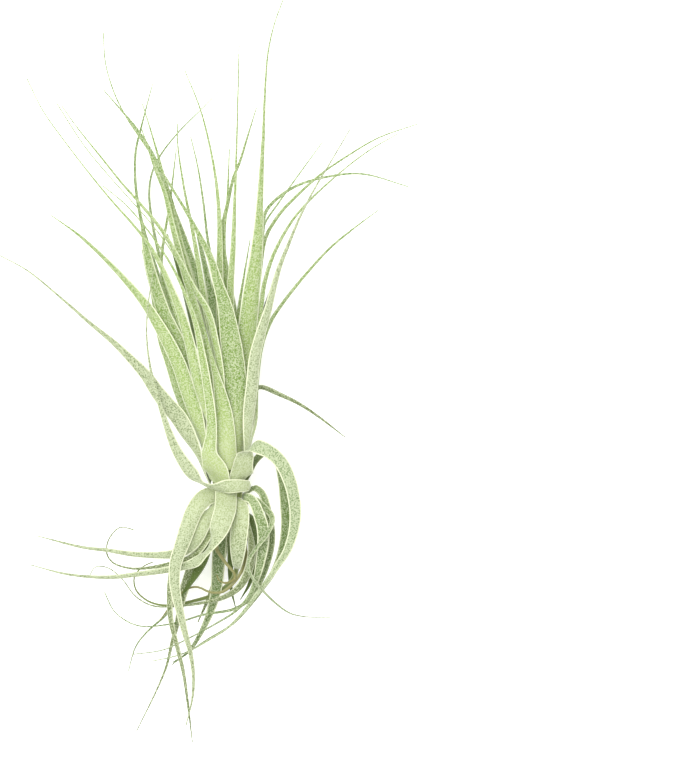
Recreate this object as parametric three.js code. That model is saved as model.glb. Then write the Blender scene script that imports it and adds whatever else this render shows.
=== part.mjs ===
// A grown air plant, Tillandsia gardneri, lying on its side on a flat surface.
// Millimetres. +Y runs along the plant from its neck to its longest leaf tips, +Z is up,
// and z = 0 is the surface it lies on. The origin is on the flat spot under the neck.

import * as THREE from "three";

// Stem: its axis leaves the neck at AXIS_HEIGHT and rises a little towards the leaf tips.
const AXIS_HEIGHT = 28;
const AXIS_TILT = THREE.MathUtils.degToRad(3.4);
const STEM_SIDES = 14;
const STEM_PROFILE = [
  // radius, distance along the stem from the neck
  [0, -13.5], [3.4, -13], [5, -8], [6, -2], [6, 4], [5.5, 12], [4.8, 20], [3.5, 30], [2, 37], [0, 40],
];

// Leaf blades
const SEAT = 1.1; // from the stem's skin to the middle of a leaf's root
const TIP_WIDTH = 0.8;
const ROOT_THICKNESS = 1.1;
const TIP_THICKNESS = 0.6;
const CHANNEL = 0.22; // how far the two margins stand in from the keel, as a share of the width
const SHEATH_LENGTH = 13; // the root's own width dies away over this length
const TURN_LENGTH = 32; // a leaf has made its turn about its own length by here
const TAPER_POWER = 5; // how sharply a blade narrows about its halfway place
const STATION_SPACING = 9.5;

// Colours
const FRESH = { color: "#b4cb84", roughness: 0.75 };
const SILVER = { color: "#ccd8b4", roughness: 0.85 };
const OLD = { color: "#b3bd8e", roughness: 0.85 };
const DRY = { color: "#c6b185", roughness: 0.8 };
const STEM = { color: "#a9a873", roughness: 0.9 };

// Each leaf: its name and finish; where its root sits on the stem, as degrees round it from
// straight up (right is positive) and millimetres along it; the width of its sheath and of its
// blade; the share of its length where it has narrowed to half; the degrees it turns about its
// own length; and the points that its midline passes through after the root. Where a root's back
// doesn't face straight out from the stem, facing gives its degrees from straight up, and channel
// is 0 on the flat leaves that touch the surface. A blade that first narrows to a strap has the
// strap's width and its own halfway share in strap. Each sharp twist is in twists: its degrees, and
// the distances along the leaf where it starts and ends.
const UPPER_LEAVES = [
  ["upper_leaf_01", FRESH,
    { root: [-40, 2], sheath: 10, blade: 4.2, halfway: 0.5, turn: 0, twists: [[30, 0, 8]] },
    [[-5.4, 7, 37.5], [-7.4, 13.2, 40.2], [-6.5, 22, 42.8], [-6.8, 30, 45], [-8.5, 42, 48],
      [-10.5, 54, 50.5], [-13, 66, 53], [-16.5, 76, 55.5], [-21, 86, 57.8], [-26.5, 95, 59.5],
      [-33, 104, 61], [-41, 113, 61.8], [-49.5, 120, 61.5]]],
  ["upper_leaf_02", FRESH, { root: [0, 7], sheath: 8, blade: 7.8, halfway: 0.21, turn: 0 },
    [[-0.4, 15, 38], [-1, 24, 40], [-2, 32, 41.6], [-4, 42, 44], [-6.5, 52, 46.3], [-9, 62, 48.6],
      [-12, 72, 50.8], [-15.5, 81, 52.6], [-20, 90, 54], [-25, 98, 55.2], [-32, 107, 56.6],
      [-40, 116, 58], [-48, 125, 59.2], [-57, 136, 60.2], [-68, 153, 60.5]]],
  ["upper_leaf_03", FRESH, { root: [-28, 12], sheath: 4, blade: 3.4, halfway: 0.6, turn: 0 },
    [[-2.6, 22, 37], [-2.4, 34, 39.3], [-3, 46, 41.5], [-5, 58, 44], [-8, 70, 46.2], [-14, 80, 48],
      [-19, 90, 49.6], [-26, 102, 51.3], [-34, 112, 52.8], [-42, 121, 54.2], [-50, 131, 55.6],
      [-60, 143.5, 57], [-66, 152, 57.5]]],
  ["upper_leaf_04", FRESH, { root: [28, 12], sheath: 6.5, blade: 9.8, halfway: 0.36, turn: -20 },
    [[4, 25, 37], [3.5, 36, 38.5], [2.5, 48, 40.5], [1, 60, 43], [-1, 72, 45.5], [-4, 82, 47.5],
      [-7, 92, 49.5], [-11.5, 101, 51.5], [-16.5, 110, 53.5], [-22, 119, 55.5], [-28, 129, 57.8],
      [-34, 138, 60], [-40, 147, 62.2], [-45, 157, 64.5], [-48.5, 169, 66.8], [-49.3, 181, 68.5]]],
  ["upper_leaf_05", SILVER, { root: [72, 7.8], sheath: 6.2, blade: 5.4, halfway: 0.5, turn: -55 },
    [[8, 15, 34.8], [8.5, 28, 37.3], [9.8, 40, 38.8], [11, 52, 40], [13.5, 62, 41], [16, 70, 42],
      [18.5, 80, 43], [21, 88.5, 44], [24, 96, 45], [29, 108, 46], [35, 119.5, 47],
      [41, 129.5, 47.8], [49, 143, 48.5]]],
  ["upper_leaf_06", FRESH, { root: [65.5, 17], sheath: 4, blade: 8.6, halfway: 0.47, turn: -45 },
    [[6.7, 27, 33], [6.8, 40, 33.8], [7, 52, 35.1], [7.8, 60, 36.3], [8.8, 70, 37.6], [10, 80, 39.2],
      [11.3, 90, 41], [12.2, 100, 42.8], [13.3, 120, 46.4], [14.3, 140, 49.8], [15.1, 160, 53],
      [16.3, 174, 55], [19, 185.5, 56.3], [22.5, 195, 57]]],
  ["upper_leaf_07", FRESH, { root: [50, 26], sheath: 2.6, blade: 2, halfway: 0.7, turn: -20 },
    [[4, 45, 32.5], [4.2, 68, 33], [5, 75, 33.6], [6, 81, 34.2], [7, 87, 34.8], [9, 99, 36]]],
  ["upper_leaf_08", FRESH, { root: [31, 21.5], sheath: 2.8, blade: 3.6, halfway: 0.5, turn: -20 },
    [[1.8, 30, 35.7], [1.3, 50, 36.8], [1.2, 80, 38], [2.2, 95, 39.5], [2.8, 112, 41.5],
      [3.5, 132, 44], [4, 150, 46.5], [4.6, 176, 49.5]]],
  ["upper_leaf_09", FRESH, { root: [10, 30.5], sheath: 2.4, blade: 1.8, halfway: 0.75, turn: 0 },
    [[0, 45, 34], [-0.6, 65, 34.3], [-1, 85, 35], [-1.4, 98, 36], [-1, 106, 36.6], [-0.2, 113, 37.2],
      [0.7, 135, 39]]],
  ["upper_leaf_10", FRESH, { root: [-26, 26], sheath: 2.4, blade: 3.6, halfway: 0.55, turn: 10 },
    [[-2.1, 40, 35.3], [-2.8, 60, 36.1], [-3.2, 88, 38], [-3.3, 105, 39.8], [-4.5, 121, 41.5],
      [-7, 135.5, 43], [-11, 151, 44.5], [-17, 166, 45.8]]],
  ["upper_leaf_11", FRESH, { root: [-4, 20], sheath: 3, blade: 3, halfway: 0.6, turn: 0 },
    [[-1.3, 32, 36], [-3.2, 45, 37.4], [-6, 60, 38.5], [-8.5, 70, 39.4], [-10.5, 82, 40.6],
      [-12.5, 94, 41.8], [-14.5, 105, 43], [-17.3, 119, 44.5], [-19.8, 136, 46.2], [-20, 145, 47]]],
  ["upper_leaf_12", FRESH, { root: [-45, 31], sheath: 2.4, blade: 1.8, halfway: 0.7, turn: 20 },
    [[-4.5, 45, 33.6], [-6.5, 58, 34], [-9.8, 70, 34], [-13.8, 82, 34.8], [-17.4, 94, 36],
      [-19.8, 104, 36.8], [-21.7, 113, 37.4], [-26.5, 128.5, 38.6]]],
  ["upper_leaf_13", FRESH, { root: [-44, 22], sheath: 3.2, blade: 3.8, halfway: 0.75, turn: 20 },
    [[-5, 30, 35.4], [-7.4, 45, 37], [-10, 60, 38.6], [-14, 75, 40.2], [-18, 88, 41.6],
      [-20.5, 98, 42.8], [-22.5, 106, 43.6], [-25, 117, 44.6], [-29, 127.5, 45.6], [-34.5, 143.5, 47]]],
  ["upper_leaf_14", FRESH, { root: [-62, 26], sheath: 3, blade: 3.2, halfway: 0.65, turn: 40 },
    [[-6, 38, 32.8], [-8.5, 55, 34], [-11.8, 70, 35], [-15, 83, 36.2], [-17.5, 92, 37],
      [-21, 107, 38.4], [-25.5, 124, 39.8], [-30, 140, 41], [-34, 153, 42]]],
  ["upper_leaf_15", FRESH, { root: [-115, 26], sheath: 2.4, blade: 1.6, halfway: 0.8, turn: 90 },
    [[-8, 38, 26.5], [-14, 52, 26], [-21, 68, 26.5], [-25.5, 80, 27.5], [-26.5, 90, 28.5],
      [-25.3, 100.5, 29.5], [-23.5, 111, 30.4], [-20.5, 135, 32]]],
  ["upper_leaf_16", FRESH, { root: [-178, 27], sheath: 3, blade: 3, halfway: 0.7, turn: 0 },
    [[-2, 40, 23.5], [-6, 60, 23.5], [-11, 80, 24.5], [-17, 98, 26], [-23, 114, 28], [-29, 131, 30],
      [-36, 142.5, 31], [-43, 151, 32], [-49.5, 158.5, 33]]],
  ["upper_leaf_17", FRESH, { root: [-150, 21.5], sheath: 3, blade: 2, halfway: 0.8, turn: 0 },
    [[-7, 32, 21.5], [-14, 48, 20], [-22, 68, 20], [-29, 88, 21], [-34, 104, 22.5], [-36.8, 120, 24],
      [-36.8, 134, 25], [-34.5, 144, 26], [-30, 161, 27.5]]],
  ["upper_leaf_18", FRESH, { root: [-130, 17], sheath: 4, blade: 2.6, halfway: 0.7, turn: 0 },
    [[-9, 28, 21], [-14, 44, 17.5], [-20, 64, 15.5], [-26, 86, 15], [-30, 104, 16], [-31.5, 117, 17.5],
      [-30.5, 125, 18.3], [-27, 132.5, 19], [-20, 141.5, 20], [-11, 150.5, 21.5], [-3, 158.5, 23]]],
  ["upper_leaf_19", FRESH, { root: [-155, 30.5], sheath: 2.4, blade: 1.4, halfway: 0.8, turn: 0 },
    [[-3, 50, 26], [-5, 75, 28], [-7, 93, 29.5], [-8.2, 100, 30.2], [-9.8, 114, 31.4],
      [-12, 128, 32.6], [-14.8, 140, 33.6]]],
  ["upper_leaf_20", FRESH,
    { root: [84, 31], sheath: 2.4, blade: 5, halfway: 0.45, turn: -60, strap: [1.6, 0.85] },
    [[4.6, 45, 29.6], [2, 70, 30], [-1, 88, 30], [-2.2, 101, 30.4], [0, 113, 31], [2.5, 124, 31.7],
      [4.6, 129, 32], [8, 140, 32.7], [11.5, 151.5, 33.4]]],
  ["upper_leaf_21", FRESH, { root: [98, 21.5], sheath: 3, blade: 2.6, halfway: 0.6, turn: -60 },
    [[9.4, 35, 28.4], [11, 52, 30.8], [12.3, 64, 33], [13.5, 72, 33.8], [14.5, 80, 34.6], [16, 86, 35.2],
      [18.5, 93, 35.9], [24, 103.5, 37], [30, 111.5, 38], [42, 123, 39.5], [56, 134, 40.5],
      [68, 141, 41]]],
  ["upper_leaf_22", FRESH, { root: [120, 26], sheath: 2.6, blade: 2.2, halfway: 0.65, turn: -90 },
    [[8, 45, 27.5], [10.5, 65, 28], [12.5, 82, 28.8], [14.5, 97, 29.5], [16, 101.5, 29.8],
      [19, 106.5, 30.2], [22, 110.5, 30.5], [30, 118.5, 31], [38, 125.5, 31.5], [46, 131, 32],
      [60, 139.3, 32.6], [76, 145, 33]]],
  ["upper_leaf_23", FRESH, { root: [158, 21.5], sheath: 3, blade: 2, halfway: 0.7, turn: 0 },
    [[5, 38, 22], [8.5, 60, 21.5], [12, 85, 22], [14, 102, 22.8], [15, 109.5, 23.2], [19.5, 115, 23.6],
      [28, 120.5, 24], [42, 124.3, 24.5], [54, 125, 24.5], [72, 120, 24]]],
  ["upper_leaf_24", FRESH, { root: [140, 30.5], sheath: 2.4, blade: 1.4, halfway: 0.75, turn: 0 },
    [[6, 50, 25.3], [9.5, 72, 25.3], [12.5, 92, 25.8], [14.8, 105, 26.2], [20, 113, 26.6],
      [26, 121.5, 27], [34, 132.5, 27.5], [38, 138, 27.8]]],
  ["upper_leaf_25", FRESH, { root: [95, 12], sheath: 6, blade: 2, halfway: 0.8, turn: -60 },
    [[11, 25, 27.5], [11.6, 40, 27.3], [13.6, 56, 27.5], [17.2, 66, 27.8], [21, 72, 28],
      [30, 83.5, 28.3], [41, 95.5, 28.5], [50, 103, 28.4], [60, 110.5, 28]]],
  ["upper_leaf_26", OLD, { root: [132, 17], sheath: 3.6, blade: 2.4, halfway: 0.7, turn: -120 },
    [[7, 26, 24.5], [8.5, 33, 24.5], [10, 37.5, 24.8], [12.3, 39.8, 25], [15, 39.5, 25],
      [20, 37.3, 24.8], [28, 33.5, 24.3], [35, 29, 23.8], [46.8, 20, 22.5]]],
  ["upper_leaf_27", SILVER, { root: [-95, 2], sheath: 7, blade: 7, halfway: 0.47, turn: 90 },
    [[-9.5, 7, 29.2], [-12.6, 14, 32.7], [-16.2, 21.5, 34.8], [-20, 28, 35], [-24.2, 33, 34.7],
      [-28.4, 38.3, 34.3], [-32.4, 44.2, 33.8], [-40.4, 52.8, 33], [-46.3, 58.4, 32.4],
      [-55, 65.5, 31.5], [-65, 74.2, 30.3], [-80, 86.5, 28.3], [-91, 92.5, 27]]],
  ["upper_leaf_28", FRESH, { root: [-70, 7], sheath: 4.8, blade: 7, halfway: 0.62, turn: 50 },
    [[-8.6, 13, 33.6], [-11, 22, 34.6], [-13.3, 30, 35.2], [-16, 38, 35.6], [-19, 47, 36],
      [-23, 56, 36.2], [-28, 65, 36.3], [-33, 73, 36.2], [-40, 81.5, 35.8], [-50, 92, 35],
      [-60, 101, 34], [-70.5, 108.5, 33]]],
  ["upper_leaf_29", FRESH, { root: [-125, 7], sheath: 7, blade: 7, halfway: 0.6, turn: 95 },
    [[-9.5, 15, 23], [-14, 26, 22], [-19, 38, 21.5], [-23, 50, 21.5], [-26, 58, 22], [-29, 72, 23.5],
      [-31, 85, 26], [-33.5, 105.5, 30]]],
  ["upper_leaf_30", FRESH, { root: [-90, 12], sheath: 5, blade: 6.8, halfway: 0.85, turn: 70 },
    [[-9.5, 22, 29], [-12.5, 32, 30], [-16, 44, 31.5], [-20, 57, 33.3], [-23.2, 64, 34.6],
      [-25.5, 69, 35.6], [-29, 80, 38], [-32, 92, 41.5], [-34.8, 106.5, 45.5]]],
  ["upper_leaf_31", FRESH, { root: [-60, 17], sheath: 3.2, blade: 5.4, halfway: 0.42, turn: 36 },
    [[-7, 24, 36.2], [-9.2, 32, 38.8], [-12, 42, 40.6], [-15.5, 58, 42], [-19, 70, 44], [-23, 80, 45.5],
      [-27, 89, 46.7], [-32, 97.5, 47.7], [-38, 105, 48.6], [-46, 114, 49.5], [-55, 125, 50.3],
      [-65, 138, 51], [-73.5, 150, 51.5], [-80, 163, 51.7]]],
  ["upper_leaf_32", FRESH, { root: [-85, 21.5], sheath: 3, blade: 1.6, halfway: 0.85, turn: 60 },
    [[-8.5, 34, 32], [-12, 48, 35], [-16, 58, 37.5], [-19.5, 66, 39.3], [-22.5, 75, 40.8],
      [-25, 83, 42], [-28.8, 98, 44.5]]],
  ["upper_leaf_33", FRESH, { root: [-100, 31], sheath: 2.6, blade: 6, halfway: 0.62, turn: 60 },
    [[-6.4, 41, 28], [-9, 50, 29.3], [-12.6, 62, 29.6], [-16.4, 75, 30], [-20.2, 88, 30.4],
      [-24, 101, 31]]],
];

// One leaf wraps round the front of the neck before it rises; three arch over and hang down.
const ARCHING_LEAVES = [
  ["collar_leaf", SILVER,
    { root: [80, 0.3], sheath: 4, blade: 6.2, halfway: 0.43, turn: 0,
      twists: [[-68, 14, 24], [68, 26, 35]] },
    [[8.7, 0.6, 32.8], [7.8, 0.6, 36], [4.6, 0.6, 39], [0, 0.3, 40.2], [-4.6, -0.2, 39.8],
      [-9, 0.9, 38.6], [-13.3, 4.4, 37.6], [-17, 9, 37.6], [-20.4, 14.6, 38], [-23, 20.6, 38.6],
      [-25.4, 27.6, 39.3], [-28.2, 36.6, 40], [-30.4, 45.6, 40.8], [-31.9, 55, 41.3],
      [-32.3, 63, 41.8], [-31.8, 72, 42.2], [-29.5, 87, 43]]],
  ["arching_leaf_1", SILVER,
    { root: [43, 2], sheath: 9.2, blade: 5.8, halfway: 0.5, turn: 0, channel: 0.26,
      twists: [[-62, -2, 8], [90, 12, 19.5], [50, 19, 24], [-30, 25, 45], [25, 45, 65]] },
    [[5.6, 5.2, 36.6], [6.2, 9.4, 40], [7.1, 12.4, 42.2], [8.6, 15, 44], [10.8, 16, 45.6],
      [13, 15.9, 47], [15.3, 15.1, 48], [17.4, 13.8, 48.9], [19.6, 12, 49.5], [22.5, 8, 49.7],
      [24.9, 2, 49.4], [26.3, -3.8, 48.3], [27, -9.5, 46.8], [26.4, -17, 43.8], [23.8, -25, 40.5],
      [20, -31, 37.5], [16, -37, 34.5], [12, -42, 31.5], [6, -50, 27.5], [0, -56, 24.5],
      [-6, -60, 22], [-18, -66.5, 18], [-30, -69.5, 15]]],
  ["arching_leaf_2", OLD, { root: [108, 3], sheath: 6, blade: 4.6, halfway: 0.55, turn: -20 },
    [[9, 6.5, 28], [12, 11.4, 30.5], [16.5, 14, 33], [20.3, 10.5, 35], [21.9, 3.4, 35.8],
      [22.7, -5, 35.8], [23, -15, 34.8], [21.5, -25, 32.5], [18, -34, 29.5], [14, -40, 27],
      [8, -48, 23], [2, -54.5, 20], [-10, -62, 16.3], [-22.5, -71, 13.5]]],
  ["arching_leaf_3", OLD, { root: [180, 2], sheath: 6, blade: 6, halfway: 0.7, turn: 0, channel: 0 },
    [[0, 7, 16.5], [0, 11.3, 11.5], [0, 12, 6.6], [0, 9, 2.4], [0, 4, 0], [0, -5, 0],
      [-0.5, -14, 0], [-2, -26, 1.2], [-6, -40, 3], [-12, -54, 5]]],
];

// Leaves under the rosette, which the plant lies on
const RESTING_LEAVES = [
  ["resting_leaf_1", FRESH, { root: [172, 12], sheath: 5, blade: 6, halfway: 0.7, turn: 0 },
    [[0, 24, 16], [-1.5, 38, 10], [-3, 52, 6], [-5, 66, 4], [-7.5, 80, 3.6], [-10, 92, 4.5],
      [-13.5, 106, 7]]],
  ["resting_leaf_2", FRESH, { root: [140, 7], sheath: 6, blade: 4.2, halfway: 0.7, turn: 0, channel: 0 },
    [[7.6, 16, 16.5], [9.8, 28, 10.5], [10, 42, 5], [10.8, 54, 1.4], [12.8, 64, 0], [15.6, 74, 0],
      [18.5, 82, 0.6], [22, 92, 2.5]]],
  ["resting_leaf_3", FRESH, { root: [-148, 12], sheath: 5, blade: 5, halfway: 0.7, turn: 0, channel: 0 },
    [[-6, 22, 16], [-10.5, 34, 9.5], [-15.5, 46, 4], [-20.5, 57, 0.8], [-25, 66, 0], [-29, 75, 0],
      [-32, 84, 1], [-34.5, 95, 4]]],
];

// The skirt of old leaves that hangs down from the neck
const LOWER_LEAVES = [
  ["lower_leaf_01", SILVER,
    { root: [-5, -1.3], sheath: 8.8, blade: 8.8, halfway: 0.27, turn: 0, facing: 6,
      strap: [2.8, 0.72], twists: [[72, 14, 29], [-76, 29.5, 41]] },
    [[-0.6, -5, 37.8], [-1, -8.8, 40.8], [-2.4, -13.4, 43.2], [-4.4, -18.2, 43.8],
      [-6.6, -22.8, 42.4], [-8.6, -25.8, 40.5], [-11, -28.3, 38.6], [-13.6, -30.2, 36.8],
      [-17, -31.5, 35], [-24, -33, 32.4], [-36, -34.8, 29], [-48, -36, 26], [-64, -34.8, 22.5],
      [-79, -31, 19.5]]],
  ["lower_leaf_02", SILVER,
    { root: [-40, -2.5], sheath: 7.6, blade: 6.8, halfway: 0.3, turn: 0, facing: -37,
      strap: [4.4, 0.62] },
    [[-8.4, -3.6, 35.8], [-11.6, -6.6, 38.6], [-13.8, -10.4, 39.8], [-15.6, -15, 40.3],
      [-17.3, -20, 40.5], [-19.2, -25.4, 40.5], [-20.7, -30, 40.2], [-21.2, -34.6, 39.7],
      [-21, -39.8, 38.9], [-20, -45.6, 37.7], [-18.6, -51.5, 36.1], [-17.2, -57.5, 34],
      [-15, -65.5, 30.8], [-13.7, -75, 26.8], [-14.1, -84, 23], [-16.8, -95.5, 18.5]]],
  ["lower_leaf_03", SILVER,
    { root: [-58, -7], sheath: 4.8, blade: 7.2, halfway: 0.3, turn: 0, strap: [2.6, 0.7],
      twists: [[-94, 0, 9]] },
    [[-6.8, -8.4, 34.2], [-8.8, -12.6, 36.7], [-10.8, -16.6, 37.2], [-13, -20.6, 36],
      [-16.4, -24.3, 34.2], [-20.5, -26.4, 32.4], [-27, -27.1, 30.4], [-38, -26.7, 28],
      [-48, -25.2, 26], [-58, -24, 24], [-76, -19.5, 21]]],
  ["lower_leaf_04", OLD, { root: [-30, -9], sheath: 3.5, blade: 3, halfway: 0.45, turn: 0 },
    [[-5, -14, 33.5], [-8, -20, 33.5], [-11.5, -25.2, 32], [-15, -28, 30.4], [-18.5, -29.4, 29],
      [-24, -30.8, 27.6], [-30, -31.9, 26.2], [-36, -32.5, 25], [-41, -32, 24.2], [-46, -30, 23.5],
      [-48.3, -26.5, 23], [-48, -22, 22.7], [-46, -18.5, 22.5], [-43, -16, 22.3], [-37.5, -17, 22]]],
  ["lower_leaf_05", SILVER, { root: [20, -6], sheath: 6.6, blade: 8, halfway: 0.6, turn: 0 },
    [[4.6, -7.6, 35.6], [5.1, -11.6, 37.4], [4.6, -16.6, 38.6], [4.1, -21.7, 38.6],
      [3.8, -26.6, 36.8], [3.6, -30.4, 33.6], [3.4, -32.2, 29.4], [3, -30.6, 25.4], [2.6, -26, 23.2],
      [2.2, -20, 22.2]]],
  ["lower_leaf_06", OLD,
    { root: [67, -4], sheath: 3.5, blade: 5.2, halfway: 0.38, turn: 0, twists: [[-38, 0, 9]] },
    [[7, -3.8, 33.6], [9.2, -4.7, 35.6], [11, -7.2, 36.4], [12.4, -11, 36.5],
      [13.7, -15.2, 36.3], [14.2, -19.4, 35.8], [13.9, -24, 35], [13, -29.5, 33.8],
      [11.8, -35, 32.4], [8.8, -43, 29.4], [3, -49.5, 26.3], [-4, -54, 23.6], [-15, -60, 20.4],
      [-26, -65, 17.8], [-38, -66.8, 15.5]]],
  ["lower_leaf_07", OLD, { root: [112, -4], sheath: 3.4, blade: 2.8, halfway: 0.45, turn: 50 },
    [[8.6, -1.4, 25.3], [11, -0.4, 26], [13.5, -2.3, 26.6], [15, -5.6, 27], [16.2, -10, 27.3],
      [17.2, -14.5, 27.3], [17.8, -19, 27], [17.5, -24, 26.4], [16.2, -29.6, 25.3],
      [13.8, -36.2, 23.6], [9.5, -44, 21.5], [3, -48.5, 20.2], [-10, -51, 19.2],
      [-22, -54.5, 18.2], [-36, -55.3, 17], [-45, -50, 16], [-49.3, -42, 15]]],
  ["lower_leaf_08", OLD, { root: [-118, -4], sheath: 4, blade: 3, halfway: 0.7, turn: -112 },
    [[-10, -6, 25], [-15, -12, 26.5], [-19, -20, 26.6], [-21.8, -30, 25.6], [-23.3, -42, 25.5],
      [-22.8, -53, 25.5], [-20.2, -64, 24.5], [-17.8, -74, 22], [-16.2, -85, 18.5], [-14.2, -102, 13]]],
  ["lower_leaf_09", OLD, { root: [92, -6.8], sheath: 2.8, blade: 2.4, halfway: 0.75, turn: 20 },
    [[10.5, -5, 29], [14.8, -8.2, 31.5], [17.9, -12.5, 35.8], [16.2, -18.3, 39.6], [12.2, -23.5, 39.8],
      [9.3, -27.6, 39.4], [8.2, -31.5, 38.8], [10, -36, 38], [14, -41, 36.8], [19, -46, 35.2],
      [24.5, -50, 33.5], [30, -51.5, 32], [41, -52, 29.5]]],
  ["lower_leaf_10", DRY, { root: [30, -10], sheath: 2.6, blade: 1.8, halfway: 0.7, turn: 0 },
    [[5, -16, 31], [7, -24, 29.4], [6.8, -30.5, 27.6], [3, -37.5, 27.2], [-2, -41.8, 25.8],
      [-7, -42, 24.6], [-12, -39.9, 23.6], [-16, -40.6, 22.8], [-21, -45, 21.9], [-27, -53, 20.5]]],
  ["lower_leaf_11", OLD, { root: [-160, -6], sheath: 6, blade: 6, halfway: 0.65, turn: 0 },
    [[-2.8, -13, 18.5], [-3.4, -22, 16.5], [-4, -31, 15.5], [-4.6, -39, 15], [-6.4, -47.5, 14.5],
      [-10, -56.5, 13.7], [-16, -66, 12.7], [-22, -70, 12]]],
  ["lower_leaf_12", OLD, { root: [75, -9], sheath: 4, blade: 4, halfway: 0.4, turn: 75 },
    [[8, -14, 30.5], [9.4, -20, 30.8], [9.6, -27, 30], [8, -34, 28], [4.5, -40, 25], [-1, -43.8, 22.5],
      [-8, -45.8, 21], [-20, -47.5, 19], [-30, -47.4, 17.6], [-37, -43.5, 16.7], [-42, -37, 16],
      [-48, -32.2, 15.3], [-53, -32, 14.8], [-55.5, -36, 14.5]]],
  ["lower_leaf_13", OLD, { root: [-112, -8.5], sheath: 4.5, blade: 5, halfway: 0.5, turn: -75 },
    [[-8.6, -15, 22], [-12, -25, 18.5], [-15.4, -34, 17], [-18.4, -44, 16], [-20.5, -55, 14.5],
      [-22.6, -63, 14], [-24.6, -71.5, 13.3], [-28, -80, 12.3], [-36.5, -97.5, 9.8]]],
  ["lower_leaf_14", DRY, { root: [160, -9], sheath: 3, blade: 2.2, halfway: 0.55, turn: 0 },
    [[3, -17, 17], [3.8, -26, 13.5], [2.5, -36, 11.8], [-4, -42.2, 11], [-14, -45.6, 10.5],
      [-25, -47.3, 10], [-32, -45.5, 9.7], [-36.8, -41, 9.5], [-37.3, -35.5, 9.3],
      [-33.5, -31.5, 9], [-30, -30, 8.8]]],
  ["lower_leaf_15", OLD, { root: [-150, -2.5], sheath: 4, blade: 3, halfway: 0.6, turn: 0 },
    [[-7, -10, 15], [-11.5, -20, 11.5], [-15.5, -31, 9.5], [-19, -41, 8.5], [-24, -50, 7.8],
      [-33, -58.5, 7], [-37, -64, 6.5], [-39.8, -73.5, 6]]],
  ["lower_leaf_16", OLD, { root: [150, -3], sheath: 5, blade: 6, halfway: 0.62, turn: 0 },
    [[5, -10, 14.5], [3, -19, 10.5], [1.6, -27, 8], [1, -34, 6.5], [1.4, -41, 5.5], [3, -48, 5]]],
  ["lower_leaf_17", OLD,
    { root: [122, -8], sheath: 3.4, blade: 7, halfway: 0.62, turn: 0, twists: [[105, 0, 7]] },
    [[8.6, -11.5, 24.6], [9.6, -16, 23.8], [10.4, -22, 22], [10.4, -30, 20.6], [9, -38, 19],
      [5, -45, 17.6]]],
  ["lower_leaf_18", OLD,
    { root: [-78, -10.2], sheath: 3.2, blade: 7.4, halfway: 0.65, turn: 0, twists: [[-80, 0, 9]] },
    [[-7.8, -14, 30.4], [-8.8, -20, 30], [-9.8, -26, 29], [-11.6, -32, 27.4], [-15.5, -39, 25.5],
      [-19, -44, 23.5]]],
  ["lower_leaf_19", DRY, { root: [0, -12.3], sheath: 2, blade: 1.4, halfway: 0.8, turn: 0 },
    [[-2.6, -18, 33.4], [-4.6, -24, 32.4], [-2.4, -28, 31], [0, -31.2, 30], [2.4, -34, 29.4],
      [2.9, -36, 29.2], [1.2, -37.6, 29], [-1.4, -38.2, 28.8], [-3.6, -37, 28.6],
      [-4.4, -35, 28.4]]],
];

const taper = (share) => 1 / (1 + share ** TAPER_POWER);

function stemRadius(along) {
  for (let i = 1; i < STEM_PROFILE.length; i += 1) {
    const [radius, place] = STEM_PROFILE[i];
    const [lastRadius, lastPlace] = STEM_PROFILE[i - 1];
    if (along <= place) {
      return THREE.MathUtils.mapLinear(along, lastPlace, place, lastRadius, radius);
    }
  }
  return 0;
}

function outward(degrees) {
  const angle = THREE.MathUtils.degToRad(degrees);
  return new THREE.Vector3(Math.sin(angle), 0, Math.cos(angle));
}

function rootPoint([degrees, along]) {
  const axis = new THREE.Vector3(0, along, AXIS_HEIGHT + along * Math.tan(AXIS_TILT));
  return axis.addScaledVector(outward(degrees), stemRadius(along) + SEAT);
}

// Places along a smooth line through the points, each with its direction and distance from the root
function stations(points) {
  const curve = new THREE.CatmullRomCurve3(points, false, "centripetal");
  const spans = points.length - 1;
  const shares = [0];
  for (let span = 0; span < spans; span += 1) {
    const reach = points[span].distanceTo(points[span + 1]);
    const steps = Math.max(2, Math.round(reach / STATION_SPACING));
    for (let step = 1; step <= steps; step += 1) {
      shares.push((span + step / steps) / spans);
    }
  }
  let distance = 0;
  return shares.map((share, i) => {
    const middle = curve.getPoint(share);
    if (i > 0) {
      distance += middle.distanceTo(curve.getPoint(shares[i - 1]));
    }
    return { middle, along: curve.getTangent(share), distance };
  });
}

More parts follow.
